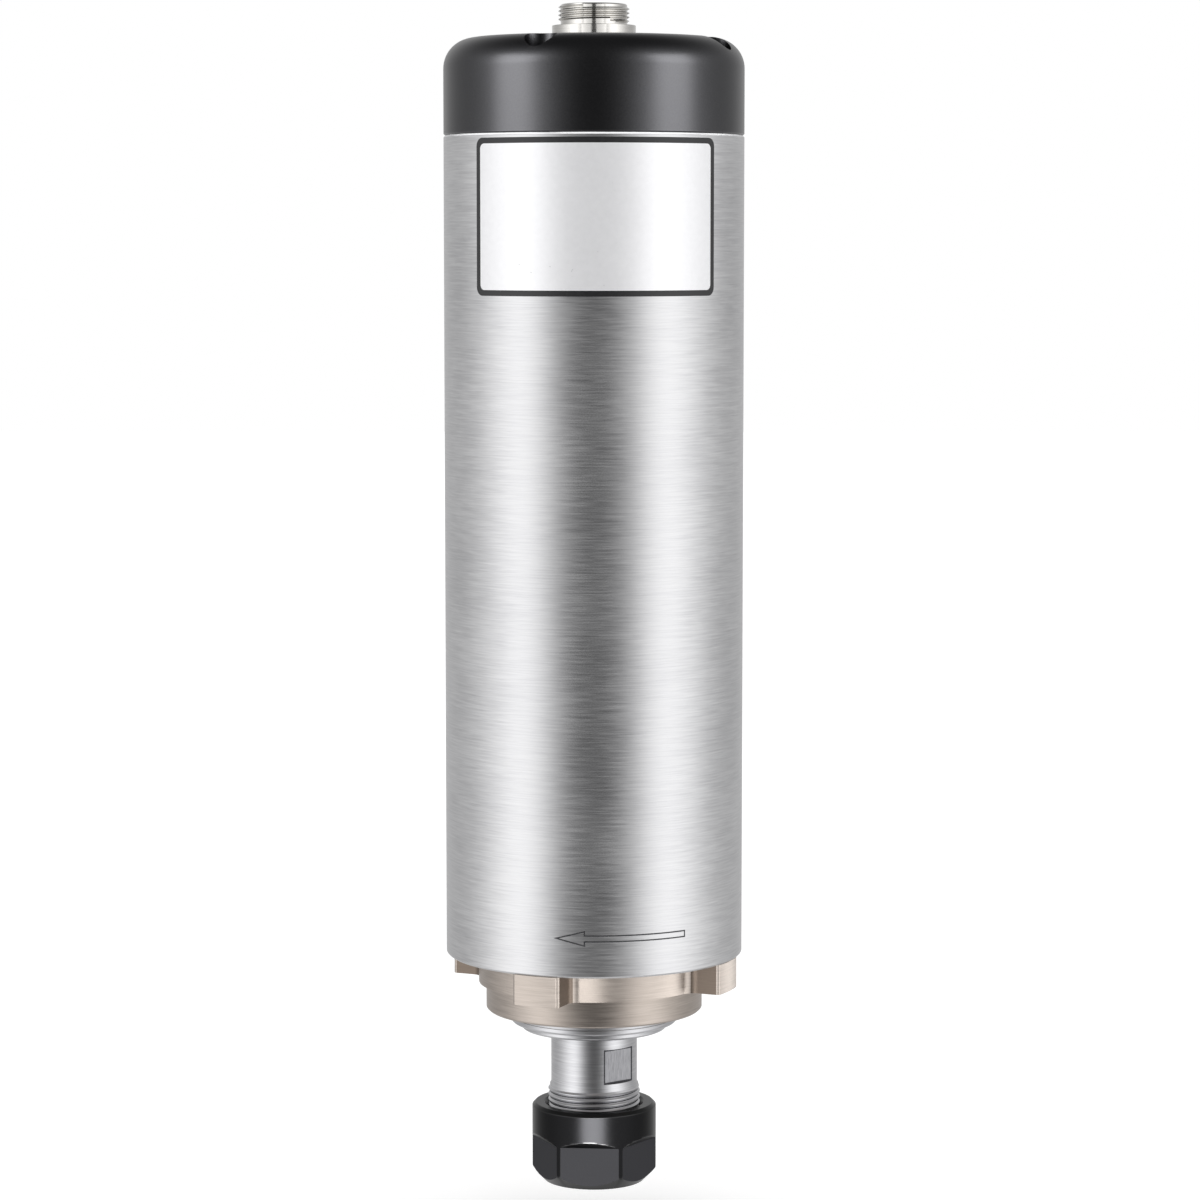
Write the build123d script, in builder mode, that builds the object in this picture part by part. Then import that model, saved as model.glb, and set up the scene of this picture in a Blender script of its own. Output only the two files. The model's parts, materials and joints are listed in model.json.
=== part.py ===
"""An 80 mm round, air cooled motor spindle with a collet nose, as the pieces it comes apart into.

Millimetres, +Z up the shaft towards the connector. The origin is on the shaft's axis, at the lower
edge of the clamped shell, so the nose hangs below zero and the motor stands above it.
"""

from math import cos, radians, sin, tan
import os

from build123d import *

os.makedirs("parts", exist_ok=True)

# Clearances
SLIP = 0.05  # round pieces that slide together and are then clamped
RUNNING = 0.3  # moving pieces that pass without touching
BALL_PLAY = 0.25  # a ball in its groove, wider than the real one so that facets stay clear

# Outer shell, the cylinder that the machine's bracket clamps
SHELL_DIAMETER = 80.0
SHELL_HEIGHT = 219.2
SHELL_WALL = 2.0
SHELL_CHAMFER = 0.5
shell_radius = SHELL_DIAMETER / 2
shell_bore = shell_radius - SHELL_WALL

# Finned body that holds the stator, with four ribs for the long screws
CAP_SPIGOT_LENGTH = 3.2
SEAT_FLANGE = 4.0
FIN_DEPTH = 4.75
BODY_WALL = 2.7
FIN_COUNT = 24
FIN_WIDTH = 1.6
RIB_WIDTH = 11.0
RIB_COUNT = 4
RIB_ANGLE = -23.2
fin_radius = shell_bore - SLIP
body_root_radius = fin_radius - FIN_DEPTH
stator_bore = body_root_radius - BODY_WALL
body_height = SHELL_HEIGHT - CAP_SPIGOT_LENGTH - SEAT_FLANGE

# Socket head screws, by nominal size
ANCHOR_SCREW = 4.0
ANCHOR_INSET = 5.6  # from the shell's outside to the screws' circle
ANCHOR_DEPTH = 14.0
COVER_SCREW = 3.0
COVER_SCREW_COUNT = 6
COVER_SCREW_DEPTH = 9.0
ANCHOR_ENGAGEMENT = 11.0
HEAD_WIDTH_RATIO = 1.75
KEY_WIDTH_RATIO = 0.75
KEY_DEPTH_RATIO = 0.5
HEAD_CHAMFER_RATIO = 0.08
CLEARANCE_HOLE_RATIO = 1.1
anchor_circle = shell_radius - ANCHOR_INSET

# Front pair of angular contact bearings
FRONT_BORE = 12.5
FRONT_OUTER = 23.5
FRONT_WIDTH = 12.0
FRONT_BALL = 3.2
FRONT_BALL_COUNT = 12
BEARINGS_IN_A_SET = 2

# Bearing cover under the flange
COVER_SCREW_OFFSET = 2.2  # from the bearings' outside to the screws' circle
COVER_RIM = 3.5
COVER_THICKNESS = 7.4
COVER_LIP = 3.0
COVER_LAND = 3.3
COVER_CHAMFER = 0.5
COVER_COUNTERBORE = 5.6
COVER_COUNTERBORE_DEPTH = 3.4
cover_screw_circle = FRONT_OUTER + COVER_SCREW_OFFSET
cover_radius = cover_screw_circle + COVER_RIM

# Front flange: four ears that carry the shell, and the seat of the front bearings
FLANGE_THICKNESS = 8.1
FLANGE_STEP = 2.0
EAR_INSET = 0.5
EAR_WIDTH = 13.2
EAR_FILLET = 3.5
EAR_EDGE_CHAMFER = 0.4
EAR_COUNTERBORE = 8.0
EAR_COUNTERBORE_DEPTH = 4.6
SPIGOT_LIP = 4.1
SPIGOT_LIP_WIDTH = 2.9
flange_radius = cover_radius + FLANGE_STEP
ear_radius = shell_radius - EAR_INSET
front_bearing_low = -FLANGE_THICKNESS
front_bearing_high = front_bearing_low + BEARINGS_IN_A_SET * FRONT_WIDTH
spigot_length = front_bearing_high + SPIGOT_LIP
cover_top = -FLANGE_THICKNESS
cover_bottom = cover_top - COVER_THICKNESS

# Turning dust cap that closes the cover
DUST_CAP_RADIUS = 22.5
DUST_CAP_STEP_RADIUS = 19.8
DUST_CAP_RIM = 3.3
DUST_CAP_STEP = 1.8
DUST_CAP_CHAMFER = 0.5
DUST_CAP_HUB_RADIUS = 15.9
dust_cap_top = cover_bottom - RUNNING
dust_cap_bottom = dust_cap_top - DUST_CAP_RIM - DUST_CAP_STEP

# Rear pair
REAR_BORE = 7.5
REAR_OUTER = 16.0
REAR_WIDTH = 9.0
REAR_BALL = 2.4
REAR_BALL_COUNT = 10
LAND_SHARE = 0.5  # of the ball's radius, from the ball circle to each ring
CAGE_THICKNESS = 1.4
CAGE_WIDTH_SHARE = 0.66

# Shaft
THREAD_DIAMETER = 25.0
THREAD_RELIEF = 0.35
THREAD_DEPTH = 0.5
THREAD_TOP = -36.5
NOSE_END = -55.9
NOSE_CHAMFER = 0.8
SHOULDER_RADIUS = 15.5
SHOULDER_GAP = 0.1
ROTOR_SEAT_RADIUS = 14.0
REAR_NECK_RADIUS = 10.0
FAN_SEAT_RADIUS = 6.0
SHAFT_BORE_RADIUS = 6.0
SHAFT_BORE_DEPTH = 12.0
FAN_THREAD_DEPTH = 12.0
thread_core = THREAD_DIAMETER / 2 - THREAD_DEPTH
shaft_radius = thread_core - THREAD_RELIEF

# Spanner pockets in the shaft
POCKET_TOP = -25.2
POCKET_HEIGHT = 9.5
POCKET_DEPTH = 1.05
POCKET_ANGLE = -52.5

# Motor
STACK_LOW = 46.0
STACK_BELOW_BODY_TOP = 48.0
ROTOR_RADIUS = 19.0
AIR_GAP = 0.4
SLOT_COUNT = 18
YOKE_WIDTH = 3.5
SLOT_WIDTH = 3.6
SLOT_MOUTH = 1.4
TOOTH_TIP = 1.4
SLOT_LINER = 0.2
END_TURN_HEIGHT = 17.0
END_TURN_LIFT = 3.0
END_TURN_GAP = 1.3
END_TURN_ROUND = 2.6
CAGE_RING_HEIGHT = 8.0
CAGE_RING_STEP = 0.8
stack_high = body_height - STACK_BELOW_BODY_TOP
stack_length = stack_high - STACK_LOW

# Rear bearing seat, clamped on the body by the cap
SEAT_SPIGOT = 8.0
SEAT_HUB_RADIUS = 20.0
SEAT_LIP = 2.2
SEAT_LIP_RADIUS = 11.0
SPRING_HEIGHT = 1.8
SPRING_THICKNESS = 0.8
SPRING_INNER = 12.6
RETAINING_RING_HEIGHT = 1.4
RETAINING_RING_INNER = 13.6
seat_top = body_height + SEAT_FLANGE
rear_bearing_high = body_height
rear_bearing_low = rear_bearing_high - BEARINGS_IN_A_SET * REAR_WIDTH
seat_bottom = rear_bearing_low - SPRING_HEIGHT - SEAT_LIP

# Lock nut on the shaft's rear thread
LOCK_NUT_RADIUS = 11.0
LOCK_NUT_HEIGHT = 5.0
LOCK_NUT_NOTCH = 3.0
LOCK_NUT_NOTCH_DEPTH = 1.6
LOCK_NUT_NOTCH_COUNT = 4
lock_nut_top = rear_bearing_high + LOCK_NUT_HEIGHT

# Fan
FAN_TIP_GAP = 5.2
FAN_PLATE = 1.5
FAN_HEIGHT = 8.5
FAN_HUB_RADIUS = 9.0
BLADE_COUNT = 9
BLADE_THICKNESS = 1.3
BLADE_SWEEP = 38.0
BLADE_BOW = 0.25  # of its sweep, where the middle of a blade lies
BLADE_OVERRUN = 1.0
FAN_SCREW = 4.0
FAN_SCREW_LENGTH = 10.0
FAN_WASHER_RADIUS = 6.5
FAN_WASHER_THICKNESS = 0.8
fan_bottom = lock_nut_top
fan_top = fan_bottom + FAN_HEIGHT

# Rear cap
CAP_HEIGHT = 25.5
CAP_WALL = 3.0
CAP_ROOF = 3.5
CAP_EDGE_RADIUS = 8.0
CAP_INNER_EDGE_RADIUS = 5.0
CAP_CHAMFER = 0.4
CAP_SPIGOT_WALL = 1.9
CAP_COUNTERBORE = 8.5
CAP_COUNTERBORE_DEPTH = 14.0
PILLAR_RADIUS = 5.2
INLET_COUNT = 12
INLET_WIDTH = 3.6
INLET_PILLAR_GAP = 2.2
INLET_COLLAR_GAP = 4.9
cap_low = SHELL_HEIGHT
cap_top = cap_low + CAP_HEIGHT
cap_roof_low = cap_top - CAP_ROOF
fan_radius = anchor_circle - PILLAR_RADIUS - FAN_TIP_GAP

# Panel connector on the cap
COUPLING_DIAMETER = 18.9
COUPLING_LENGTH = 5.6
COUPLING_CHAMFER = 0.4
COLLAR_DIAMETER = 22.2
COLLAR_HEIGHT = 2.8
GASKET_THICKNESS = 0.6
GASKET_RADIUS = 10.8
STEM_RADIUS = 9.5
SOCKET_RADIUS = 7.7
STEM_BELOW_ROOF = 4.7
PANEL_NUT_ACROSS = 22.0
PANEL_NUT_HEIGHT = 3.4
INSERT_FACE_DEPTH = 7.7
INSERT_HEIGHT = 6.0
PIN_COUNT = 4
PIN_RADIUS = 1.0
PIN_CIRCLE = 5.0
PIN_BELOW_RIM = 2.2
PIN_ANGLE = 45.0
PIN_CHAMFER = 0.3
SOLDER_CUP_LENGTH = 2.2
SOLDER_CUP_RADIUS = 1.3
KEY_WIDTH = 1.6
KEY_HEIGHT = 0.9
KEY_ANGLE = 90.0
collar_top = cap_top + GASKET_THICKNESS + COLLAR_HEIGHT
connector_top = collar_top + COUPLING_LENGTH
insert_top = connector_top - INSERT_FACE_DEPTH
insert_bottom = insert_top - INSERT_HEIGHT
stem_bottom = cap_roof_low - STEM_BELOW_ROOF

# Sleeved leads from the winding to the connector
LEAD_DIAMETER = 3.6
LEAD_INSET = 2.9
LEAD_ANGLE = 22.0
LEAD_HOLE = 4.4
LEAD_END_RADIUS = 5.5
LEAD_END_DROP = 1.7
LEAD_BEND_RADIUS = 20.0
LEAD_BEND_DROP = 4.5
LEAD_RISE_DROP = 9.0
LEAD_ROUND = 0.45
lead_circle = stator_bore - LEAD_INSET

# Collet, with an 8 degree taper at the back and a 30 degree cone at the front
COLLET_LENGTH = 31.5
NOSE_WALL = 2.3
COLLET_TAPER = 8.0
COLLET_CONE = 30.0
COLLET_BAND = 1.3
COLLET_BAND_RISE = 0.3
COLLET_GROOVE = 2.2
COLLET_GROOVE_DEPTH = 1.5
COLLET_RECESS = 0.4
COLLET_SLIT_COUNT = 6
COLLET_SLIT_WIDTH = 0.8
COLLET_SLIT_END = 6.0
COLLET_GRIP = 22.0
COLLET_RELIEF_RADIUS = 4.2
TOOL_SHANK = 6.0
TAPER_GAP = 0.08
CONE_GAP = 0.15
collet_taper_radius = THREAD_DIAMETER / 2 - NOSE_WALL
collet_radius = collet_taper_radius + COLLET_BAND_RISE
collet_neck_radius = collet_radius - COLLET_GROOVE_DEPTH  # in the groove and at the face

# Collet nut
NUT_WALL = 4.3
NUT_HEIGHT = 21.4
NUT_BELOW_THREAD_TOP = 5.0
NUT_MOUTH_CHAMFER = 1.0
NUT_RIM_CHAMFER = 0.9
NUT_FLAT_DEPTH = 1.95
NUT_FLAT_HEIGHT = 11.7
NUT_SHOULDER_HEIGHT = 1.8
NUT_FLAT_COUNT = 6
NUT_ANGLE = -94.7
NUT_BASE_CHAMFER = 3.3
NUT_THREAD_CLEARANCE = 0.1
nut_radius = THREAD_DIAMETER / 2 + NUT_WALL
nut_top = THREAD_TOP - NUT_BELOW_THREAD_TOP
nut_bottom = nut_top - NUT_HEIGHT
collet_face = nut_bottom + COLLET_RECESS
collet_cone_height = (collet_radius - collet_neck_radius) / tan(radians(COLLET_CONE))
collet_band_top = collet_face + collet_cone_height + COLLET_BAND
collet_groove_top = collet_band_top + COLLET_GROOVE
collet_back = collet_face + COLLET_LENGTH


def save(piece, name):
    """Label one finished piece and write it as the node of that name."""
    piece.label = name
    export_step(piece, f"parts/{name}.step")


def tube(inner, outer, low, high):
    """A plain ring or tube about the shaft's axis."""
    with BuildPart() as ring:
        with BuildSketch(Plane.XY.offset(low)):
            Circle(outer)
            Circle(inner, mode=Mode.SUBTRACT)
        extrude(amount=high - low)
    return ring.part


def turned(*corners):
    """A solid of revolution from its outline, as (radius, height) corners."""
    with BuildPart() as body:
        with BuildSketch(Plane.XZ):
            with BuildLine():
                Polyline(*corners, close=True)
            make_face()
        revolve(axis=Axis.Z)
    return body.part


def socket_screw(size, length):
    """A socket head screw, head up, with the underside of its head at zero."""
    head_radius = size * HEAD_WIDTH_RATIO / 2
    with BuildPart() as screw:
        with BuildSketch(Plane.XY):
            Circle(head_radius)
        extrude(amount=size)
        chamfer(screw.edges().sort_by(Axis.Z)[-1], size * HEAD_CHAMFER_RATIO)
        with BuildSketch(Plane.XY):
            Circle(size / 2)
        extrude(amount=-length)
        with BuildSketch(Plane.XY.offset(size)):
            RegularPolygon(size * KEY_WIDTH_RATIO / 2, 6, major_radius=False)
        extrude(amount=-size * KEY_DEPTH_RATIO, mode=Mode.SUBTRACT)
    return screw.part


def ribs_outline(root_radius):
    """The body's round outline with its four screw ribs, drawn in the sketch that is open."""
    with PolarLocations(0, RIB_COUNT, start_angle=RIB_ANGLE):
        Rectangle(fin_radius, RIB_WIDTH, align=(Align.MIN, Align.CENTER))
    Circle(fin_radius, mode=Mode.INTERSECT)
    Circle(root_radius)


def outer_shell():
    with BuildPart() as shell:
        with BuildSketch(Plane.XY):
            Circle(shell_radius)
            Circle(shell_bore, mode=Mode.SUBTRACT)
        extrude(amount=SHELL_HEIGHT)
        rims = shell.edges().filter_by(GeomType.CIRCLE).filter_by(lambda e: e.radius > shell_bore + SLIP)
        chamfer(rims, SHELL_CHAMFER)
    save(shell.part, "outer_shell")


def cooling_body():
    with BuildPart() as body:
        with BuildSketch(Plane.XY):
            with PolarLocations(0, FIN_COUNT, start_angle=RIB_ANGLE):
                Rectangle(fin_radius, FIN_WIDTH, align=(Align.MIN, Align.CENTER))
            ribs_outline(body_root_radius)
            Circle(stator_bore, mode=Mode.SUBTRACT)
        extrude(amount=body_height)
        for low in (0, body_height - ANCHOR_DEPTH):
            with BuildSketch(Plane.XY.offset(low)):
                with PolarLocations(anchor_circle, RIB_COUNT, start_angle=RIB_ANGLE):
                    Circle(ANCHOR_SCREW / 2 + SLIP)
            extrude(amount=ANCHOR_DEPTH, mode=Mode.SUBTRACT)
    save(body.part, "cooling_body")


def front_flange():
    with BuildPart() as flange:
        with BuildSketch(Plane.XY) as outline:
            with PolarLocations(0, RIB_COUNT, start_angle=RIB_ANGLE):
                Rectangle(ear_radius, EAR_WIDTH, align=(Align.MIN, Align.CENTER))
            Circle(ear_radius, mode=Mode.INTERSECT)
            Circle(flange_radius)
            roots = outline.vertices().filter_by(lambda v: v.center().length < flange_radius + SLIP)
            fillet(roots, EAR_FILLET)
        extrude(amount=-FLANGE_THICKNESS)
        ear_rims = flange.edges().filter_by(lambda e: e.center().length > flange_radius + EAR_FILLET)
        chamfer(ear_rims.filter_by(GeomType.CIRCLE), EAR_EDGE_CHAMFER)
        with BuildSketch(Plane.XY):
            Circle(stator_bore - SLIP)
        extrude(amount=spigot_length)
        with BuildSketch(Plane.XY.offset(spigot_length)):
            Circle(FRONT_OUTER - SPIGOT_LIP_WIDTH)
        extrude(amount=-spigot_length - FLANGE_THICKNESS, mode=Mode.SUBTRACT)
        with BuildSketch(Plane.XY.offset(-FLANGE_THICKNESS)):
            Circle(FRONT_OUTER + SLIP)
        extrude(amount=front_bearing_high + FLANGE_THICKNESS, mode=Mode.SUBTRACT)
        with BuildSketch(Plane.XY.offset(-FLANGE_THICKNESS)):
            with PolarLocations(anchor_circle, RIB_COUNT, start_angle=RIB_ANGLE):
                Circle(ANCHOR_SCREW * CLEARANCE_HOLE_RATIO / 2)
        extrude(amount=FLANGE_THICKNESS, mode=Mode.SUBTRACT)
        with BuildSketch(Plane.XY.offset(-FLANGE_THICKNESS)):
            with PolarLocations(anchor_circle, RIB_COUNT, start_angle=RIB_ANGLE):
                Circle(EAR_COUNTERBORE / 2)
        extrude(amount=EAR_COUNTERBORE_DEPTH, mode=Mode.SUBTRACT)
        with BuildSketch(Plane.XY.offset(-FLANGE_THICKNESS)):
            with PolarLocations(cover_screw_circle, COVER_SCREW_COUNT):
                Circle(COVER_SCREW / 2 + SLIP)
        extrude(amount=COVER_SCREW_DEPTH, mode=Mode.SUBTRACT)
    save(flange.part, "front_flange")


def bearing_cover():
    with BuildPart() as cover:
        with BuildSketch(Plane.XY.offset(cover_bottom)):
            Circle(cover_radius)
        extrude(amount=COVER_THICKNESS)
        chamfer(cover.edges().sort_by(Axis.Z)[0], COVER_CHAMFER)
        with BuildSketch(Plane.XY.offset(cover_bottom)):
            Circle(DUST_CAP_HUB_RADIUS + RUNNING)
        extrude(amount=COVER_THICKNESS, mode=Mode.SUBTRACT)
        with BuildSketch(Plane.XY.offset(cover_bottom + COVER_LIP)):
            Circle(FRONT_OUTER - COVER_LAND)
        extrude(amount=COVER_THICKNESS - COVER_LIP, mode=Mode.SUBTRACT)
        with Locations(Plane.XY.offset(cover_bottom)):
            with PolarLocations(cover_screw_circle, COVER_SCREW_COUNT):
                Hole(COVER_SCREW * CLEARANCE_HOLE_RATIO / 2)
        with BuildSketch(Plane.XY.offset(cover_bottom)):
            with PolarLocations(cover_screw_circle, COVER_SCREW_COUNT):
                Circle(COVER_COUNTERBORE / 2)
        extrude(amount=COVER_COUNTERBORE_DEPTH, mode=Mode.SUBTRACT)
    save(cover.part, "bearing_cover")


def dust_cap():
    step = dust_cap_bottom + DUST_CAP_STEP
    cap = turned(
        (FRONT_BORE, dust_cap_bottom),
        (DUST_CAP_STEP_RADIUS - DUST_CAP_CHAMFER, dust_cap_bottom),
        (DUST_CAP_STEP_RADIUS, dust_cap_bottom + DUST_CAP_CHAMFER),
        (DUST_CAP_STEP_RADIUS, step),
        (DUST_CAP_RADIUS - DUST_CAP_CHAMFER, step),
        (DUST_CAP_RADIUS, step + DUST_CAP_CHAMFER),
        (DUST_CAP_RADIUS, dust_cap_top),
        (DUST_CAP_HUB_RADIUS, dust_cap_top),
        (DUST_CAP_HUB_RADIUS, front_bearing_low),
        (FRONT_BORE, front_bearing_low),
    )
    save(cap, "dust_cap")


def bearing_set(name, low, bore, outer, width, ball, ball_count):
    """A matched pair of ball bearings: inner rings, outer rings, and balls in their cages."""
    ball_circle = (bore + outer) / 2
    inner_land = ball_circle - LAND_SHARE * ball
    outer_land = ball_circle + LAND_SHARE * ball
    middles = [low + width * (k + 1 / 2) for k in range(BEARINGS_IN_A_SET)]
    for ring_name, ring_low, ring_high in (("inner", bore, inner_land), ("outer", outer_land, outer)):
        with BuildPart() as rings:
            with BuildSketch(Plane.XZ):
                with Locations(*[((ring_low + ring_high) / 2, middle) for middle in middles]):
                    Rectangle(ring_high - ring_low, width - SLIP)
                with Locations(*[(ball_circle, middle) for middle in middles]):
                    Circle(ball + BALL_PLAY, mode=Mode.SUBTRACT)
            revolve(axis=Axis.Z)
        save(rings.part, f"{name}_{ring_name}_rings")
    with BuildPart() as cages:
        for middle in middles:
            with BuildSketch(Plane.XY.offset(middle)):
                Circle(ball_circle + CAGE_THICKNESS / 2)
                Circle(ball_circle - CAGE_THICKNESS / 2, mode=Mode.SUBTRACT)
            extrude(amount=width * CAGE_WIDTH_SHARE / 2, both=True)
            with Locations(Plane.XY.offset(middle)):
                with PolarLocations(ball_circle, ball_count):
                    Sphere(ball)
    save(cages.part, f"{name}_ball_cages")


def shaft():
    rear_seat = REAR_BORE - SLIP
    front_seat = FRONT_BORE - SLIP
    shoulder_top = STACK_LOW - CAGE_RING_HEIGHT - SHOULDER_GAP
    rotor_end = stack_high + CAGE_RING_HEIGHT
    socket_top = collet_back + COLLET_RECESS
    top = fan_top - SLIP
    bore_top = socket_top + SHAFT_BORE_DEPTH
    taper_at = tan(radians(COLLET_TAPER))
    mouth = collet_taper_radius + TAPER_GAP - (NOSE_END - collet_groove_top) * taper_at
    throat = collet_taper_radius + TAPER_GAP - (socket_top - collet_groove_top) * taper_at
    with BuildPart() as body:
        add(
            turned(
                (0, bore_top),
                (SHAFT_BORE_RADIUS, bore_top),
                (SHAFT_BORE_RADIUS, socket_top),
                (throat, socket_top),
                (mouth, NOSE_END),
                (thread_core - NOSE_CHAMFER, NOSE_END),
                (thread_core, NOSE_END + NOSE_CHAMFER),
                (thread_core, THREAD_TOP),
                (shaft_radius, THREAD_TOP),
                (shaft_radius, dust_cap_bottom),
                (front_seat, dust_cap_bottom),
                (front_seat, front_bearing_high),
                (SHOULDER_RADIUS, front_bearing_high),
                (SHOULDER_RADIUS, shoulder_top),
                (ROTOR_SEAT_RADIUS, shoulder_top),
                (ROTOR_SEAT_RADIUS, rotor_end),
                (REAR_NECK_RADIUS, rotor_end),
                (REAR_NECK_RADIUS, rear_bearing_low),
                (rear_seat, rear_bearing_low),
                (rear_seat, lock_nut_top),
                (FAN_SEAT_RADIUS, lock_nut_top),
                (FAN_SEAT_RADIUS, top),
                (0, top),
            )
        )
        with BuildSketch(Plane.XY.offset(POCKET_TOP - POCKET_HEIGHT)):
            with PolarLocations(shaft_radius - POCKET_DEPTH, 2, start_angle=POCKET_ANGLE):
                Rectangle(shaft_radius, 2 * shaft_radius, align=(Align.MIN, Align.CENTER))
        extrude(amount=POCKET_HEIGHT, mode=Mode.SUBTRACT)
        with BuildSketch(Plane.XY.offset(top)):
            Circle(FAN_SCREW / 2 + SLIP)
        extrude(amount=-FAN_THREAD_DEPTH, mode=Mode.SUBTRACT)
    save(body.part, "shaft")


def stator():
    slot_bottom = ROTOR_RADIUS + AIR_GAP + TOOTH_TIP
    slot_depth = stator_bore - YOKE_WIDTH - slot_bottom
    with BuildPart() as core:
        with BuildSketch(Plane.XY.offset(STACK_LOW)):
            Circle(stator_bore - SLIP)
            with PolarLocations(slot_bottom, SLOT_COUNT):
                Rectangle(slot_depth, SLOT_WIDTH, align=(Align.MIN, Align.CENTER), mode=Mode.SUBTRACT)
            with PolarLocations(0, SLOT_COUNT):
                Rectangle(slot_bottom, SLOT_MOUTH, align=(Align.MIN, Align.CENTER), mode=Mode.SUBTRACT)
            Circle(ROTOR_RADIUS + AIR_GAP, mode=Mode.SUBTRACT)
        extrude(amount=stack_length)
    save(core.part, "stator_core")
    end_turn_inner = ROTOR_RADIUS + END_TURN_LIFT
    end_turn_outer = stator_bore - END_TURN_GAP
    end_turn_round = min(END_TURN_ROUND, (end_turn_outer - end_turn_inner) / 2 - SLIP)
    with BuildPart() as windings:
        with BuildSketch(Plane.XY.offset(STACK_LOW)):
            with PolarLocations(slot_bottom + SLOT_LINER, SLOT_COUNT):
                size = (slot_depth - 2 * SLOT_LINER, SLOT_WIDTH - 2 * SLOT_LINER)
                Rectangle(*size, align=(Align.MIN, Align.CENTER))
        extrude(amount=stack_length)
        with BuildSketch(Plane.XZ):
            for middle in (STACK_LOW - END_TURN_HEIGHT / 2, stack_high + END_TURN_HEIGHT / 2):
                with Locations(((end_turn_inner + end_turn_outer) / 2, middle)):
                    RectangleRounded(end_turn_outer - end_turn_inner, END_TURN_HEIGHT, end_turn_round)
        revolve(axis=Axis.Z)
    save(windings.part, "stator_windings")


def rotor():
    bore = ROTOR_SEAT_RADIUS + SLIP
    save(tube(bore, ROTOR_RADIUS, STACK_LOW, stack_high), "rotor_core")
    with BuildPart() as rings:
        for low in (STACK_LOW - CAGE_RING_HEIGHT, stack_high):
            add(tube(bore, ROTOR_RADIUS - CAGE_RING_STEP, low, low + CAGE_RING_HEIGHT))
    save(rings.part, "rotor_end_rings")


def rear_bearing_seat():
    spigot_low = body_height - SEAT_SPIGOT
    with BuildPart() as seat:
        with BuildSketch(Plane.XY.offset(body_height)):
            ribs_outline(body_root_radius)
        extrude(amount=SEAT_FLANGE)
        with BuildSketch(Plane.XY.offset(spigot_low)):
            Circle(stator_bore - SLIP)
        extrude(amount=SEAT_SPIGOT)
        with BuildSketch(Plane.XY.offset(seat_bottom)):
            Circle(SEAT_HUB_RADIUS)
        extrude(amount=spigot_low - seat_bottom)
        with BuildSketch(Plane.XY.offset(seat_bottom)):
            Circle(SEAT_LIP_RADIUS)
        extrude(amount=seat_top - seat_bottom, mode=Mode.SUBTRACT)
        with BuildSketch(Plane.XY.offset(seat_bottom + SEAT_LIP)):
            Circle(REAR_OUTER + SLIP)
        extrude(amount=seat_top - seat_bottom - SEAT_LIP, mode=Mode.SUBTRACT)
        with BuildSketch(Plane.XY.offset(body_height)):
            Circle(REAR_OUTER + RETAINING_RING_HEIGHT)
        extrude(amount=RETAINING_RING_HEIGHT + SLIP, mode=Mode.SUBTRACT)
        with BuildSketch(Plane.XY.offset(body_height)):
            with PolarLocations(anchor_circle, RIB_COUNT, start_angle=RIB_ANGLE):
                Circle(ANCHOR_SCREW * CLEARANCE_HOLE_RATIO / 2)
        extrude(amount=SEAT_FLANGE, mode=Mode.SUBTRACT)
        with BuildSketch(Plane.XY.offset(spigot_low)):
            with PolarLocations(lead_circle, 1, start_angle=LEAD_ANGLE):
                Circle(LEAD_HOLE / 2)
        extrude(amount=SEAT_SPIGOT + SEAT_FLANGE, mode=Mode.SUBTRACT)
    save(seat.part, "rear_bearing_seat")
    ring = tube(
        RETAINING_RING_INNER,
        REAR_OUTER + RETAINING_RING_HEIGHT - SLIP,
        body_height,
        body_height + RETAINING_RING_HEIGHT,
    )
    save(ring, "rear_retaining_ring")


def preload_spring():
    low = seat_bottom + SEAT_LIP
    high = low + SPRING_HEIGHT
    outer = REAR_OUTER - SLIP
    cone = turned(
        (SPRING_INNER, low),
        (outer, high - SPRING_THICKNESS),
        (outer, high),
        (SPRING_INNER, low + SPRING_THICKNESS),
    )
    save(cone, "preload_spring")


def rear_lock_nut():
    with BuildPart() as nut:
        with BuildSketch(Plane.XY.offset(rear_bearing_high)):
            Circle(LOCK_NUT_RADIUS)
            with PolarLocations(LOCK_NUT_RADIUS, LOCK_NUT_NOTCH_COUNT):
                Rectangle(2 * LOCK_NUT_NOTCH_DEPTH, LOCK_NUT_NOTCH, mode=Mode.SUBTRACT)
            Circle(REAR_BORE, mode=Mode.SUBTRACT)
        extrude(amount=LOCK_NUT_HEIGHT)
    save(nut.part, "rear_lock_nut")


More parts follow.
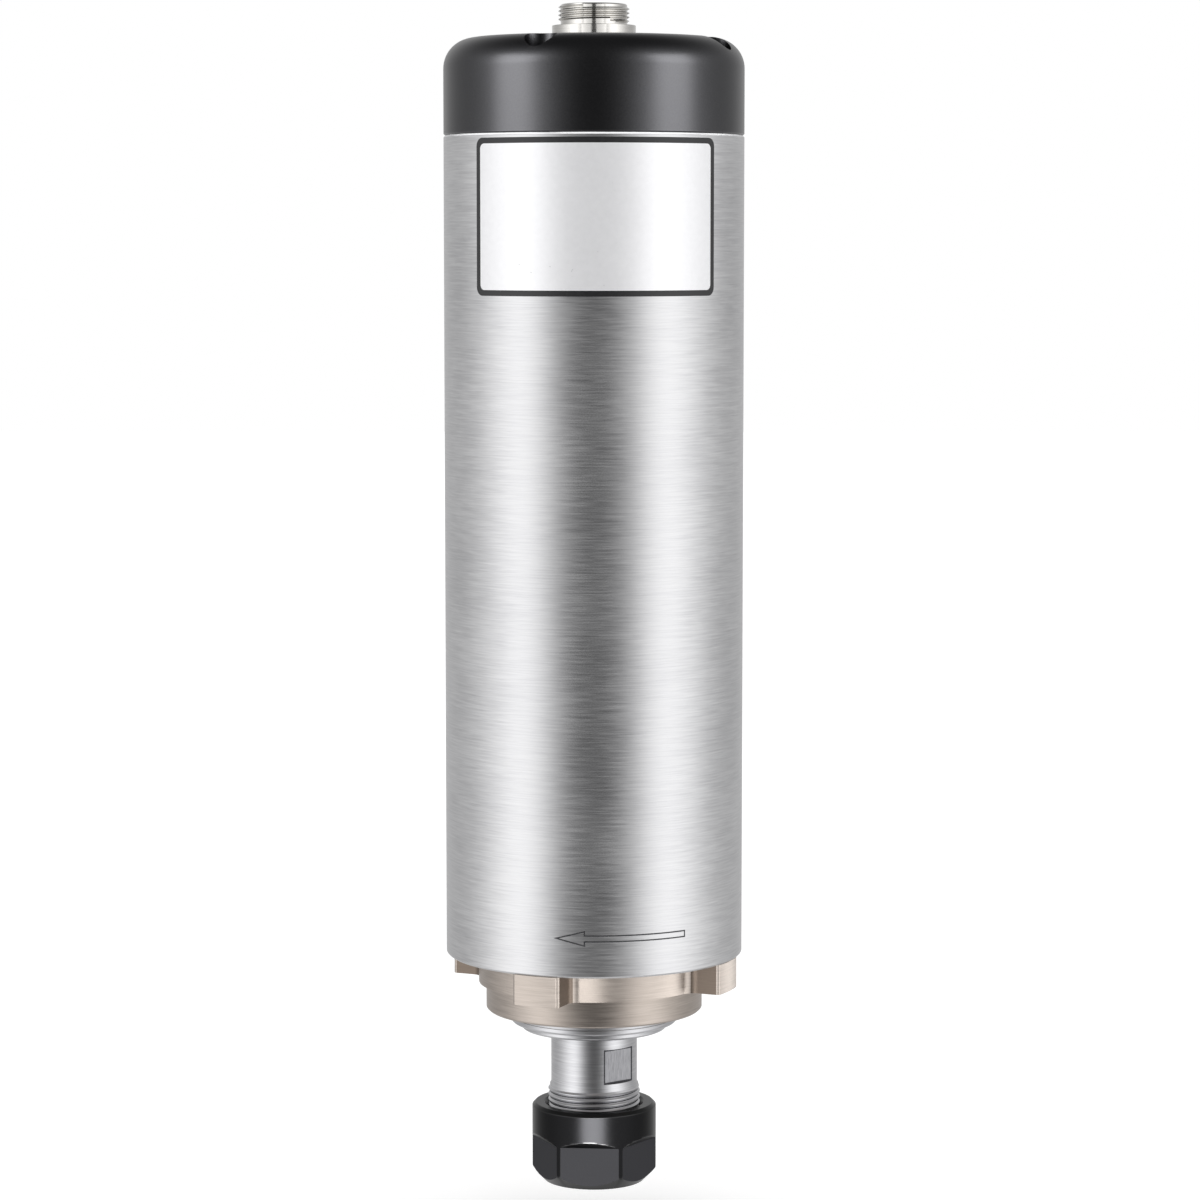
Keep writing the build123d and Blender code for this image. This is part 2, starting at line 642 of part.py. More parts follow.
def fan():
    sweep = radians(BLADE_SWEEP)
    start = (FAN_HUB_RADIUS - BLADE_THICKNESS, 0)
    middle_radius = (FAN_HUB_RADIUS + fan_radius) / 2
    end_radius = fan_radius + BLADE_OVERRUN
    middle = (middle_radius * cos(sweep * BLADE_BOW), middle_radius * sin(sweep * BLADE_BOW))
    end = (end_radius * cos(sweep), end_radius * sin(sweep))
    with BuildSketch() as blade:
        with BuildLine():
            ThreePointArc(start, middle, end)
        trace(line_width=BLADE_THICKNESS)
    with BuildPart() as impeller:
        with BuildSketch(Plane.XY.offset(fan_bottom)):
            Circle(fan_radius)
        extrude(amount=FAN_PLATE)
        with BuildSketch(Plane.XY.offset(fan_bottom)):
            with PolarLocations(0, BLADE_COUNT):
                add(blade.sketch)
            Circle(fan_radius, mode=Mode.INTERSECT)
            Circle(FAN_HUB_RADIUS)
        extrude(amount=FAN_HEIGHT)
        with BuildSketch(Plane.XY.offset(fan_bottom)):
            Circle(FAN_SEAT_RADIUS + SLIP)
        extrude(amount=FAN_HEIGHT, mode=Mode.SUBTRACT)
    save(impeller.part, "fan")
    washer_top = fan_top + FAN_WASHER_THICKNESS
    save(tube(FAN_SCREW / 2 + SLIP, FAN_WASHER_RADIUS, fan_top, washer_top), "fan_washer")
    save(Pos(0, 0, washer_top) * socket_screw(FAN_SCREW, FAN_SCREW_LENGTH), "fan_screw")


def rear_cap():
    with BuildPart() as cap:
        with BuildSketch(Plane.XY.offset(cap_low)):
            Circle(shell_radius)
        extrude(amount=CAP_HEIGHT)
        fillet(cap.edges().sort_by(Axis.Z)[-1], CAP_EDGE_RADIUS)
        chamfer(cap.edges().sort_by(Axis.Z)[0], CAP_CHAMFER)
        with BuildSketch(Plane.XY.offset(cap_low)):
            Circle(shell_radius - CAP_WALL)
        extrude(amount=cap_roof_low - cap_low, mode=Mode.SUBTRACT)
        roof_edge = cap.edges().filter_by(GeomType.CIRCLE).filter_by(
            lambda e: abs(e.center().Z - cap_roof_low) < SLIP
        )
        fillet(roof_edge, CAP_INNER_EDGE_RADIUS)
        with BuildSketch(Plane.XY.offset(seat_top)):
            Circle(fin_radius)
            Circle(fin_radius - CAP_SPIGOT_WALL, mode=Mode.SUBTRACT)
        extrude(amount=cap_low - seat_top + CAP_CHAMFER)
        with BuildSketch(Plane.XY.offset(seat_top)):
            with PolarLocations(anchor_circle, RIB_COUNT, start_angle=RIB_ANGLE):
                Circle(PILLAR_RADIUS)
            Circle(fin_radius, mode=Mode.INTERSECT)
        extrude(amount=cap_roof_low - seat_top)
        with BuildSketch(Plane.XY.offset(cap_top)):
            with PolarLocations(anchor_circle, RIB_COUNT, start_angle=RIB_ANGLE):
                Circle(CAP_COUNTERBORE / 2)
        extrude(amount=-CAP_COUNTERBORE_DEPTH, mode=Mode.SUBTRACT)
        with BuildSketch(Plane.XY.offset(cap_top)):
            with PolarLocations(anchor_circle, RIB_COUNT, start_angle=RIB_ANGLE):
                Circle(ANCHOR_SCREW * CLEARANCE_HOLE_RATIO / 2)
        extrude(amount=seat_top - cap_top, mode=Mode.SUBTRACT)
        inlet_inner = COLLAR_DIAMETER / 2 + INLET_COLLAR_GAP
        inlet_outer = anchor_circle - PILLAR_RADIUS - INLET_PILLAR_GAP
        with BuildSketch(Plane.XY.offset(cap_top)):
            Circle(STEM_RADIUS + SLIP)
            with PolarLocations((inlet_inner + inlet_outer) / 2, INLET_COUNT):
                SlotOverall(inlet_outer - inlet_inner, INLET_WIDTH)
        extrude(amount=-CAP_ROOF, mode=Mode.SUBTRACT)
    save(cap.part, "rear_cap")


def connector():
    gasket_top = cap_top + GASKET_THICKNESS
    save(tube(STEM_RADIUS + SLIP, GASKET_RADIUS, cap_top, gasket_top), "connector_gasket")
    with BuildPart() as shell:
        add(
            turned(
                (SOCKET_RADIUS, stem_bottom),
                (STEM_RADIUS, stem_bottom),
                (STEM_RADIUS, gasket_top),
                (COLLAR_DIAMETER / 2, gasket_top),
                (COLLAR_DIAMETER / 2, collar_top - COUPLING_CHAMFER),
                (COLLAR_DIAMETER / 2 - COUPLING_CHAMFER, collar_top),
                (COUPLING_DIAMETER / 2, collar_top),
                (COUPLING_DIAMETER / 2, connector_top - COUPLING_CHAMFER),
                (COUPLING_DIAMETER / 2 - COUPLING_CHAMFER, connector_top),
                (SOCKET_RADIUS, connector_top),
            )
        )
        with BuildSketch(Plane.XY.offset(insert_top)):
            with PolarLocations(SOCKET_RADIUS - KEY_HEIGHT, 1, start_angle=KEY_ANGLE):
                Rectangle(2 * KEY_HEIGHT, KEY_WIDTH, align=(Align.MIN, Align.CENTER))
        extrude(amount=connector_top - insert_top - PIN_BELOW_RIM / 2)
    save(shell.part, "connector_shell")
    with BuildPart() as insert:
        with BuildSketch(Plane.XY.offset(insert_bottom)):
            Circle(SOCKET_RADIUS - SLIP)
            with PolarLocations(PIN_CIRCLE, PIN_COUNT, start_angle=PIN_ANGLE):
                Circle(PIN_RADIUS + SLIP, mode=Mode.SUBTRACT)
        extrude(amount=INSERT_HEIGHT)
    save(insert.part, "connector_insert")
    pin_top = connector_top - PIN_BELOW_RIM
    with BuildPart() as pins:
        with BuildSketch(Plane.XY.offset(insert_bottom)):
            with PolarLocations(PIN_CIRCLE, PIN_COUNT, start_angle=PIN_ANGLE):
                Circle(PIN_RADIUS)
        extrude(amount=pin_top - insert_bottom)
        chamfer(pins.edges().group_by(Axis.Z)[-1], PIN_CHAMFER)
        with BuildSketch(Plane.XY.offset(insert_bottom)):
            with PolarLocations(PIN_CIRCLE, PIN_COUNT, start_angle=PIN_ANGLE):
                Circle(SOLDER_CUP_RADIUS)
        extrude(amount=-SOLDER_CUP_LENGTH)
    save(pins.part, "connector_pins")
    with BuildPart() as nut:
        with BuildSketch(Plane.XY.offset(cap_roof_low)):
            RegularPolygon(PANEL_NUT_ACROSS / 2, 6, major_radius=False)
            Circle(STEM_RADIUS + SLIP, mode=Mode.SUBTRACT)
        extrude(amount=-PANEL_NUT_HEIGHT)
    save(nut.part, "connector_nut")


def motor_leads():
    angle = radians(LEAD_ANGLE)
    plane = Plane(origin=(0, 0, 0), x_dir=(cos(angle), sin(angle), 0), z_dir=(sin(angle), -cos(angle), 0))
    corners = (
        (lead_circle, stack_high + END_TURN_HEIGHT),
        (lead_circle, stem_bottom - LEAD_RISE_DROP),
        (LEAD_BEND_RADIUS, stem_bottom - LEAD_BEND_DROP),
        (LEAD_END_RADIUS, stem_bottom - LEAD_END_DROP),
    )
    with BuildPart() as leads:
        with BuildLine(plane) as route:
            FilletPolyline(*corners, radius=LEAD_BEND_RADIUS * LEAD_ROUND)
        with BuildSketch(Plane(origin=route.line @ 0, z_dir=route.line % 0)):
            Circle(LEAD_DIAMETER / 2)
        sweep()
    save(leads.part, "motor_leads")


def screws():
    anchor_seat = cap_top - CAP_COUNTERBORE_DEPTH
    anchor = socket_screw(ANCHOR_SCREW, anchor_seat - body_height + ANCHOR_ENGAGEMENT)
    with BuildPart() as cap_screws:
        with Locations((0, 0, anchor_seat)):
            with PolarLocations(anchor_circle, RIB_COUNT, start_angle=RIB_ANGLE):
                add(anchor)
    save(cap_screws.part, "cap_screws")
    ear_seat = EAR_COUNTERBORE_DEPTH - FLANGE_THICKNESS
    ear_screw = Rot(180, 0, 0) * socket_screw(ANCHOR_SCREW, ANCHOR_ENGAGEMENT - ear_seat)
    with BuildPart() as flange_screws:
        with Locations((0, 0, ear_seat)):
            with PolarLocations(anchor_circle, RIB_COUNT, start_angle=RIB_ANGLE):
                add(ear_screw)
    save(flange_screws.part, "flange_screws")
    cover_seat = cover_bottom + COVER_COUNTERBORE_DEPTH
    cover_length = cover_top - cover_seat + COVER_SCREW_DEPTH - COVER_SCREW / 2
    cover_screw = Rot(180, 0, 0) * socket_screw(COVER_SCREW, cover_length)
    with BuildPart() as cover_screws:
        with Locations((0, 0, cover_seat)):
            with PolarLocations(cover_screw_circle, COVER_SCREW_COUNT):
                add(cover_screw)
    save(cover_screws.part, "cover_screws")


def collet():
    back_radius = collet_taper_radius - (collet_back - collet_groove_top) * tan(radians(COLLET_TAPER))
    cone_top = collet_face + collet_cone_height
    grip_top = collet_face + COLLET_GRIP
    with BuildPart() as piece:
        add(
            turned(
                (TOOL_SHANK / 2, collet_face),
                (collet_neck_radius, collet_face),
                (collet_radius, cone_top),
                (collet_radius, collet_band_top),
                (collet_neck_radius, collet_band_top),
                (collet_neck_radius, collet_groove_top),
                (collet_taper_radius, collet_groove_top),
                (back_radius, collet_back),
                (COLLET_RELIEF_RADIUS, collet_back),
                (COLLET_RELIEF_RADIUS, grip_top),
                (TOOL_SHANK / 2, grip_top),
            )
        )
        half_turn = 180 / COLLET_SLIT_COUNT
        for low, start_angle in ((collet_face, 0), (collet_face + COLLET_SLIT_END, half_turn)):
            with BuildSketch(Plane.XY.offset(low)):
                with PolarLocations(0, COLLET_SLIT_COUNT, start_angle=start_angle):
                    Rectangle(collet_radius * 2, COLLET_SLIT_WIDTH, align=(Align.MIN, Align.CENTER))
            extrude(amount=COLLET_LENGTH - COLLET_SLIT_END, mode=Mode.SUBTRACT)
    save(piece.part, "collet")


def collet_nut():
    thread_bore = THREAD_DIAMETER / 2 + NUT_THREAD_CLEARANCE
    cone_radius = collet_radius + CONE_GAP
    cone_top = collet_face + collet_cone_height
    mouth_radius = collet_neck_radius + CONE_GAP - COLLET_RECESS * tan(radians(COLLET_CONE))
    ring_radius = collet_neck_radius + RUNNING
    ring_low = collet_band_top + RUNNING
    ring_high = collet_groove_top - RUNNING
    flat_radius = nut_radius - NUT_FLAT_DEPTH
    flat_top = nut_bottom + NUT_FLAT_HEIGHT
    shoulder_top = flat_top + NUT_SHOULDER_HEIGHT
    outside = 2 * nut_radius - flat_radius
    with BuildPart() as flat:
        with BuildSketch(Plane.XZ):
            with BuildLine():
                Polyline(
                    (flat_radius, nut_bottom - NUT_BASE_CHAMFER),
                    (flat_radius, flat_top),
                    (nut_radius, shoulder_top),
                    (outside, shoulder_top + NUT_SHOULDER_HEIGHT),
                    (outside, nut_bottom - NUT_BASE_CHAMFER),
                    close=True,
                )
            make_face()
        extrude(amount=nut_radius, both=True)
    with BuildPart() as nut:
        add(
            turned(
                (mouth_radius, nut_bottom),
                (nut_radius - NUT_BASE_CHAMFER, nut_bottom),
                (nut_radius, nut_bottom + NUT_BASE_CHAMFER),
                (nut_radius, nut_top - NUT_RIM_CHAMFER),
                (nut_radius - NUT_RIM_CHAMFER, nut_top),
                (thread_bore + NUT_MOUTH_CHAMFER, nut_top),
                (thread_bore, nut_top - NUT_MOUTH_CHAMFER),
                (thread_bore, ring_high),
                (ring_radius, ring_high),
                (ring_radius, ring_low),
                (cone_radius, ring_low),
                (cone_radius, cone_top),
            )
        )
        with PolarLocations(0, NUT_FLAT_COUNT, start_angle=NUT_ANGLE):
            add(flat.part, mode=Mode.SUBTRACT)
    save(nut.part, "collet_nut")


outer_shell()
cooling_body()
front_flange()
bearing_cover()
dust_cap()
bearing_set("front", front_bearing_low, FRONT_BORE, FRONT_OUTER, FRONT_WIDTH, FRONT_BALL, FRONT_BALL_COUNT)
bearing_set("rear", rear_bearing_low, REAR_BORE, REAR_OUTER, REAR_WIDTH, REAR_BALL, REAR_BALL_COUNT)
shaft()
stator()
rotor()
rear_bearing_seat()
preload_spring()
rear_lock_nut()
fan()
rear_cap()
connector()
motor_leads()
screws()
collet()
collet_nut()
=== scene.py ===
"""An 80 mm round motor spindle with a collet nose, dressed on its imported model.

Profiles and outlines are written in millimetres and become metres as their piece is made. A turned
piece is drawn as (radius, height) corners. Heights come from the frame's boxes.
"""

import json
import math

import bmesh
import bpy
from mathutils import Matrix, Vector


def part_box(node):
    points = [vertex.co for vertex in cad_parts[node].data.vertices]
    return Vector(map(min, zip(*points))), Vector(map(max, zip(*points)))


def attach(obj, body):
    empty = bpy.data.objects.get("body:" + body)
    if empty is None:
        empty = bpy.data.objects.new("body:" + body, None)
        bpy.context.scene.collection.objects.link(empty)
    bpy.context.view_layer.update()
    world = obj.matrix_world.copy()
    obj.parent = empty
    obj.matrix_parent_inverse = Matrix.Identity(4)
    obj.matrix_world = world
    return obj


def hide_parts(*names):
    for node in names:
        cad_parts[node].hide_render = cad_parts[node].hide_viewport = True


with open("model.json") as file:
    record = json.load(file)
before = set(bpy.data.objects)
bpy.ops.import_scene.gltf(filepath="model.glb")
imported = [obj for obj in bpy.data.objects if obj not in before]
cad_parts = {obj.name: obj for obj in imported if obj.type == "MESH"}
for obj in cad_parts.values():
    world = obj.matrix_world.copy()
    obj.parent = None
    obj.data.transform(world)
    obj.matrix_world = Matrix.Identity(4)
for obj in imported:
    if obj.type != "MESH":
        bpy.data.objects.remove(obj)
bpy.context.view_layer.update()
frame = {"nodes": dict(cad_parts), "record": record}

MM = 0.001


def heights(node):
    """The lowest and highest point of a node, in millimetres."""
    low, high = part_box(node)
    return low.z / MM, high.z / MM


# Heights of the pieces that stand on each other
SHELL_LOW, SHELL_HIGH = heights("outer_shell")
CAP_LOW, CAP_HIGH = heights("rear_cap")
FLANGE_LOW, FLANGE_HIGH = heights("front_flange")
COVER_LOW, COVER_HIGH = heights("bearing_cover")
DUST_CAP_LOW, DUST_CAP_HIGH = heights("dust_cap")
SHAFT_LOW, SHAFT_HIGH = heights("shaft")
NUT_LOW, NUT_HIGH = heights("collet_nut")
COLLET_LOW, COLLET_HIGH = heights("collet")
CONNECTOR_LOW, CONNECTOR_HIGH = heights("connector_shell")
GASKET_HIGH = heights("connector_gasket")[1]

# Radii that several pieces share
SHELL_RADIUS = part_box("outer_shell")[1].x / MM
LABEL_THICKNESS = 0.08
INK_THICKNESS = 0.03
SKIN_RADIUS = SHELL_RADIUS - LABEL_THICKNESS
ANCHOR_CIRCLE = 34.4
EAR_ANGLE = -23.2
EAR_COUNT = 4
COVER_SCREW_CIRCLE = 25.7
COVER_SCREW_COUNT = 6

# The collet's cone and the socket in the shaft's nose: radius lost per millimetre of height
COLLET_TAPER = math.tan(math.radians(8))


# Mesh helpers


def arc(centre, radius, start, end, count=8):
    """Points of an arc, both ends included, with its angles in degrees."""
    points = []
    for k in range(count + 1):
        angle = math.radians(start + (end - start) * k / count)
        points.append((centre[0] + radius * math.cos(angle), centre[1] + radius * math.sin(angle)))
    return points


def polar(radius, angle):
    """A point at a radius and an angle in degrees."""
    return radius * math.cos(math.radians(angle)), radius * math.sin(math.radians(angle))


def rings(radius, low, high, spacing=0.6):
    """Points up a straight side.

    An edge's rubbed colour, which on the nut also paints a highlight on the rim, is stored per point, so
    they stand close enough to keep it at that edge.
    """
    count = round((high - low) / spacing)
    return [(radius, low + (high - low) * k / count) for k in range(count + 1)]


def turned(profile, steps=160):
    """A mesh spun from its (radius, height) outline.

    An outline that starts and ends on the axis is left open there.
    """
    mesh = bmesh.new()
    ring = [mesh.verts.new((radius * MM, 0, height * MM)) for radius, height in profile]
    pairs = list(zip(ring, ring[1:]))
    if profile[0][0] or profile[-1][0]:
        pairs.append((ring[-1], ring[0]))
    edges = [mesh.edges.new(pair) for pair in pairs]
    bmesh.ops.spin(
        mesh, geom=ring + edges, axis=(0, 0, 1), cent=(0, 0, 0), angle=math.tau, steps=steps,
        use_merge=True,
    )
    bmesh.ops.remove_doubles(mesh, verts=mesh.verts, dist=0.0001 * MM)
    bmesh.ops.recalc_face_normals(mesh, faces=mesh.faces)
    return mesh


def thickened(mesh, y=0, z=0):
    """The solid that a flat mesh sweeps when it is shifted by millimetres."""
    grown = bmesh.ops.extrude_face_region(mesh, geom=mesh.faces[:])
    raised = [v for v in grown["geom"] if isinstance(v, bmesh.types.BMVert)]
    bmesh.ops.translate(mesh, vec=(0, y * MM, z * MM), verts=raised)
    bmesh.ops.recalc_face_normals(mesh, faces=mesh.faces)
    return mesh


def extruded(outline, low, high):
    """A mesh extruded from its (x, y) outline between two heights."""
    mesh = bmesh.new()
    mesh.faces.new([mesh.verts.new((x * MM, y * MM, low * MM)) for x, y in outline])
    return thickened(mesh, z=high - low)


def upright_face(outline, y=0):
    """A flat face from its (x, height) outline, facing along y."""
    mesh = bmesh.new()
    mesh.faces.new([mesh.verts.new((x * MM, y * MM, z * MM)) for x, z in outline])
    return mesh


def box(length, width, height):
    """A box about the origin, in millimetres."""
    mesh = bmesh.new()
    bmesh.ops.create_cube(mesh, size=1.0)
    bmesh.ops.scale(mesh, vec=(length * MM, width * MM, height * MM), verts=mesh.verts)
    return mesh


def plug(radius, low, high, steps):
    """A plain cylinder on the axis."""
    return turned([(0, low), (radius, low), (radius, high), (0, high)], steps)


def stepped_hole(low, lower_radius, step, upper_radius, high, steps):
    """The tool that cuts a round hole whose radius changes at a step."""
    return turned(
        [
            (0, low),
            (lower_radius, low),
            (lower_radius, step),
            (upper_radius, step),
            (upper_radius, high),
            (0, high),
        ],
        steps,
    )


def round_edges(mesh, width, segments=2, sharper_than=28):
    """Bevels every edge that turns by more than some degrees."""
    limit = math.radians(sharper_than)
    edges = [e for e in mesh.edges if len(e.link_faces) == 2 and e.calc_face_angle() > limit]
    bmesh.ops.bevel(
        mesh, geom=edges, offset=width * MM, offset_type="OFFSET", segments=segments, profile=0.5,
        affect="EDGES", clamp_overlap=True, material=-1,
    )
    bmesh.ops.dissolve_degenerate(mesh, dist=0.001 * MM, edges=mesh.edges)
    return mesh


def moved(mesh, x=0, y=0, z=0, turn=0):
    """Shifts a mesh by millimetres, then turns it about the shaft's axis by degrees."""
    matrix = Matrix.Rotation(math.radians(turn), 4, "Z") @ Matrix.Translation((x * MM, y * MM, z * MM))
    bmesh.ops.transform(mesh, matrix=matrix, verts=mesh.verts)
    return mesh


def repeated(mesh, count, x=0, z=0, start=0):
    """Copies of a mesh, shifted by millimetres and set at even angles about the shaft."""
    copies = [moved(mesh.copy(), x=x, z=z, turn=start + 360 / count * k) for k in range(count)]
    mesh.free()
    return copies


def joined(*meshes):
    """One mesh that holds several."""
    whole = meshes[0]
    for other in meshes[1:]:
        data = bpy.data.meshes.new("part_of_a_piece")
        other.to_mesh(data)
        other.free()
        whole.from_mesh(data)
        bpy.data.meshes.remove(data)
    return whole


def as_object(mesh, name):
    """An object in the scene from a mesh."""
    data = bpy.data.meshes.new(name)
    mesh.to_mesh(data)
    mesh.free()
    thing = bpy.data.objects.new(name, data)
    bpy.context.scene.collection.objects.link(thing)
    return thing


def combined(mesh, tool, operation="DIFFERENCE"):
    """The mesh with the tool cut out of it, added to it, or kept only where both are."""
    body = as_object(mesh, "body_of_a_cut")
    cutter = as_object(tool, "tool_of_a_cut")
    change = body.modifiers.new("cut", "BOOLEAN")
    change.operation = operation
    change.solver = "EXACT"
    change.object = cutter
    result = bmesh.new()
    result.from_object(body, bpy.context.evaluated_depsgraph_get())
    for thing in (body, cutter):
        data = thing.data
        bpy.data.objects.remove(thing)
        bpy.data.meshes.remove(data)
    bmesh.ops.remove_doubles(result, verts=result.verts, dist=0.0005 * MM)
    bmesh.ops.dissolve_degenerate(result, dist=0.0005 * MM, edges=result.edges)
    return result


def span_round_the_shaft(data, face):
    """The angle of a face's first corner, and the least and the most that the others turn from it."""
    corners = [data.vertices[v].co for v in face.vertices]
    turns = [math.atan2(corner.y, corner.x) for corner in corners]
    spread = [math.remainder(turn - turns[0], math.tau) for turn in turns]
    return turns[0], min(spread), max(spread)


class RoundShading:
    """The normals of the true surfaces, at the corners of a mesh's faces.

    A face that runs round the shaft is shaded as the round surface that it stands for, and its
    weight is that of the largest face with its slope. So a cut doesn't show in the shading of the
    surface round it.
    """

    smooth_below = math.cos(math.radians(31))
    tangent_below = math.cos(math.radians(15))
    widest_round_face = math.radians(6.5)
    large_flat = 3 * MM * MM

    def __init__(self, data):
        """Works out the slope and the weight of every face, and the faces at every point."""
        self.data = data
        self.slope = {}
        self.weight = {}
        largest = {}
        for face in data.polygons:
            slope = self.slope_round_the_shaft(face)
            self.slope[face.index] = slope
            self.weight[face.index] = face.area
            if slope is not None:
                largest[round(slope, 2)] = max(face.area, largest.get(round(slope, 2), 0))
        for index, slope in self.slope.items():
            if slope is not None:
                self.weight[index] = largest[round(slope, 2)]
        self.faces_at = {}
        for face in data.polygons:
            for vertex in face.vertices:
                self.faces_at.setdefault(vertex, []).append(face.index)

    def slope_round_the_shaft(self, face):
        """The angle of a face's normal above the level, or None where it doesn't run round the shaft."""
        normal = face.normal
        if abs(normal.z) > 0.9999:
            return math.copysign(math.pi / 2, normal.z)
        first, least, most = span_round_the_shaft(self.data, face)
        if most - least > self.widest_round_face:
            return None
        middle = first + (most + least) / 2
        along = -normal.x * math.sin(middle) + normal.y * math.cos(middle)
        outwards = normal.x * math.cos(middle) + normal.y * math.sin(middle)
        return math.atan2(normal.z, outwards) if abs(along) < 0.06 else None

    def normal_at(self, index, vertex):
        """The normal at a point of a face of the surface that the face stands for."""
        slope = self.slope[index]
        if slope is None:
            return self.data.polygons[index].normal
        place = self.data.vertices[vertex].co
        turn = math.atan2(place.y, place.x)
        level = math.cos(slope)
        return Vector((level * math.cos(turn), level * math.sin(turn), math.sin(slope)))

    def flat_meets_round(self, index, other):
        """Whether just one of two faces runs round the shaft, and the other is more than a bevel."""
        flat = [k for k in (index, other) if self.slope[k] is None]
        return len(flat) == 1 and self.data.polygons[flat[0]].area > self.large_flat

    def corner_normal(self, index, vertex):
        """The weighted mean of a face's own normal and of those that run smoothly into it."""
        own = self.normal_at(index, vertex)
        total = Vector()
        seen = set()
        for other in self.faces_at[vertex]:
            normal = self.normal_at(other, vertex)
            slope = self.slope[other]
            kind = other if slope is None else round(slope, 2)
            limit = self.tangent_below if self.flat_meets_round(index, other) else self.smooth_below
            if normal.dot(own) > limit and kind not in seen:
                seen.add(kind)
                total += normal * self.weight[other]
        return total.normalized() if total.length else own

    def apply(self):
        """Stores the normals in the mesh."""
        faces = self.data.polygons
        corners = [self.corner_normal(face.index, v) for face in faces for v in face.vertices]
        self.data.shade_smooth()
        self.data.normals_split_custom_set(corners)


# The material slots of a piece with several materials, after its main one in slot 0; some of them hold
# painted shade
SECOND_SLOT, THIRD_SLOT = 1, 2


def finish_flat_faces(data, material, smallest):
    """Gives a second finish to the upright flat faces of some square millimetres or more."""
    data.materials.append(material)
    for face in data.polygons:
        if face.area > smallest * MM * MM and abs(face.normal.z) < 0.02:
            least, most = span_round_the_shaft(data, face)[1:]
            if most - least > math.radians(10):
                face.material_index = SECOND_SLOT


def piece(name, mesh, body, material, replaced=(), milled=()):
    """A finished piece of the object, which moves with a body and stands for its nodes."""
    thing = as_object(mesh, name)
    RoundShading(thing.data).apply()
    thing.data.materials.append(material)
    if milled:
        finish_flat_faces(thing.data, *milled)
    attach(thing, body)
    if replaced:
        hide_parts(*replaced)
    return thing


def flat_piece(name, mesh, body, material):
    """A printed or thin piece, shaded smooth as it is."""
    thing = as_object(mesh, name)
    thing.data.shade_smooth()
    thing.data.set_sharp_from_angle(angle=math.radians(30))
    thing.data.materials.append(material)
    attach(thing, body)
    return thing


def ridge(root, crest, pitch, low, high, start=0, steps_in_a_turn=72):
    """The raised helix of a right hand thread, with run-outs at both ends.

    Its foot is sunk a little into its core.
    """
    sunk = root - 0.15
    turns = (high - low) / pitch - 1
    steps = int(turns * steps_in_a_turn)
    section = ((sunk, 0.02), (root, 0.08), (crest, 0.44), (crest, 0.56), (root, 0.92), (sunk, 0.98))
    mesh = bmesh.new()
    corners = [mesh.verts.new((radius * MM, 0, (low + share * pitch) * MM)) for radius, share in section]
    face = mesh.faces.new(corners)
    bmesh.ops.spin(
        mesh, geom=[face], axis=(0, 0, 1), cent=(0, 0, 0), angle=math.tau * turns, steps=steps,
        dvec=(0, 0, pitch * turns * MM / steps), use_merge=False,
    )
    run_out, lead_in = 0.3 * pitch, 0.06 * pitch
    first, last = low + pitch / 2, high - pitch / 2
    for vert in mesh.verts:
        radius, height = math.hypot(vert.co.x, vert.co.y) / MM, vert.co.z / MM
        if radius > (root + crest) / 2:
            from_low = (height - first + lead_in) / run_out
            from_high = (last + lead_in - height) / run_out
            wanted = root + (crest - root) * max(0, min(1, from_low, from_high))
            vert.co.x *= wanted / radius
            vert.co.y *= wanted / radius
    bmesh.ops.recalc_face_normals(mesh, faces=mesh.faces)
    return moved(mesh, turn=start)


# Materials


def linear(colour):
    """An sRGB hex colour as linear RGBA."""
    shares = [int(colour[k : k + 2], 16) / 255 for k in (1, 3, 5)]
    return [s / 12.92 if s <= 0.04045 else ((s + 0.055) / 1.055) ** 2.4 for s in shares] + [1]


def add_node(tree, kind, inputs=(), **settings):
    """A node with its settings, and with its inputs given as values or as the outputs that feed them."""
    new = tree.nodes.new("ShaderNode" + kind)
    for name, value in settings.items():
        setattr(new, name, value)
    for name, value in dict(inputs).items():
        if isinstance(value, bpy.types.NodeSocket):
            tree.links.new(value, new.inputs[name])
        else:
            new.inputs[name].default_value = value
    return new


# A Mix node names its sockets alike for numbers and colours, so they are taken by their place
NUMBER_A, NUMBER_B = 2, 3
COLOUR_A, COLOUR_B, COLOUR_RESULT = 6, 7, 2


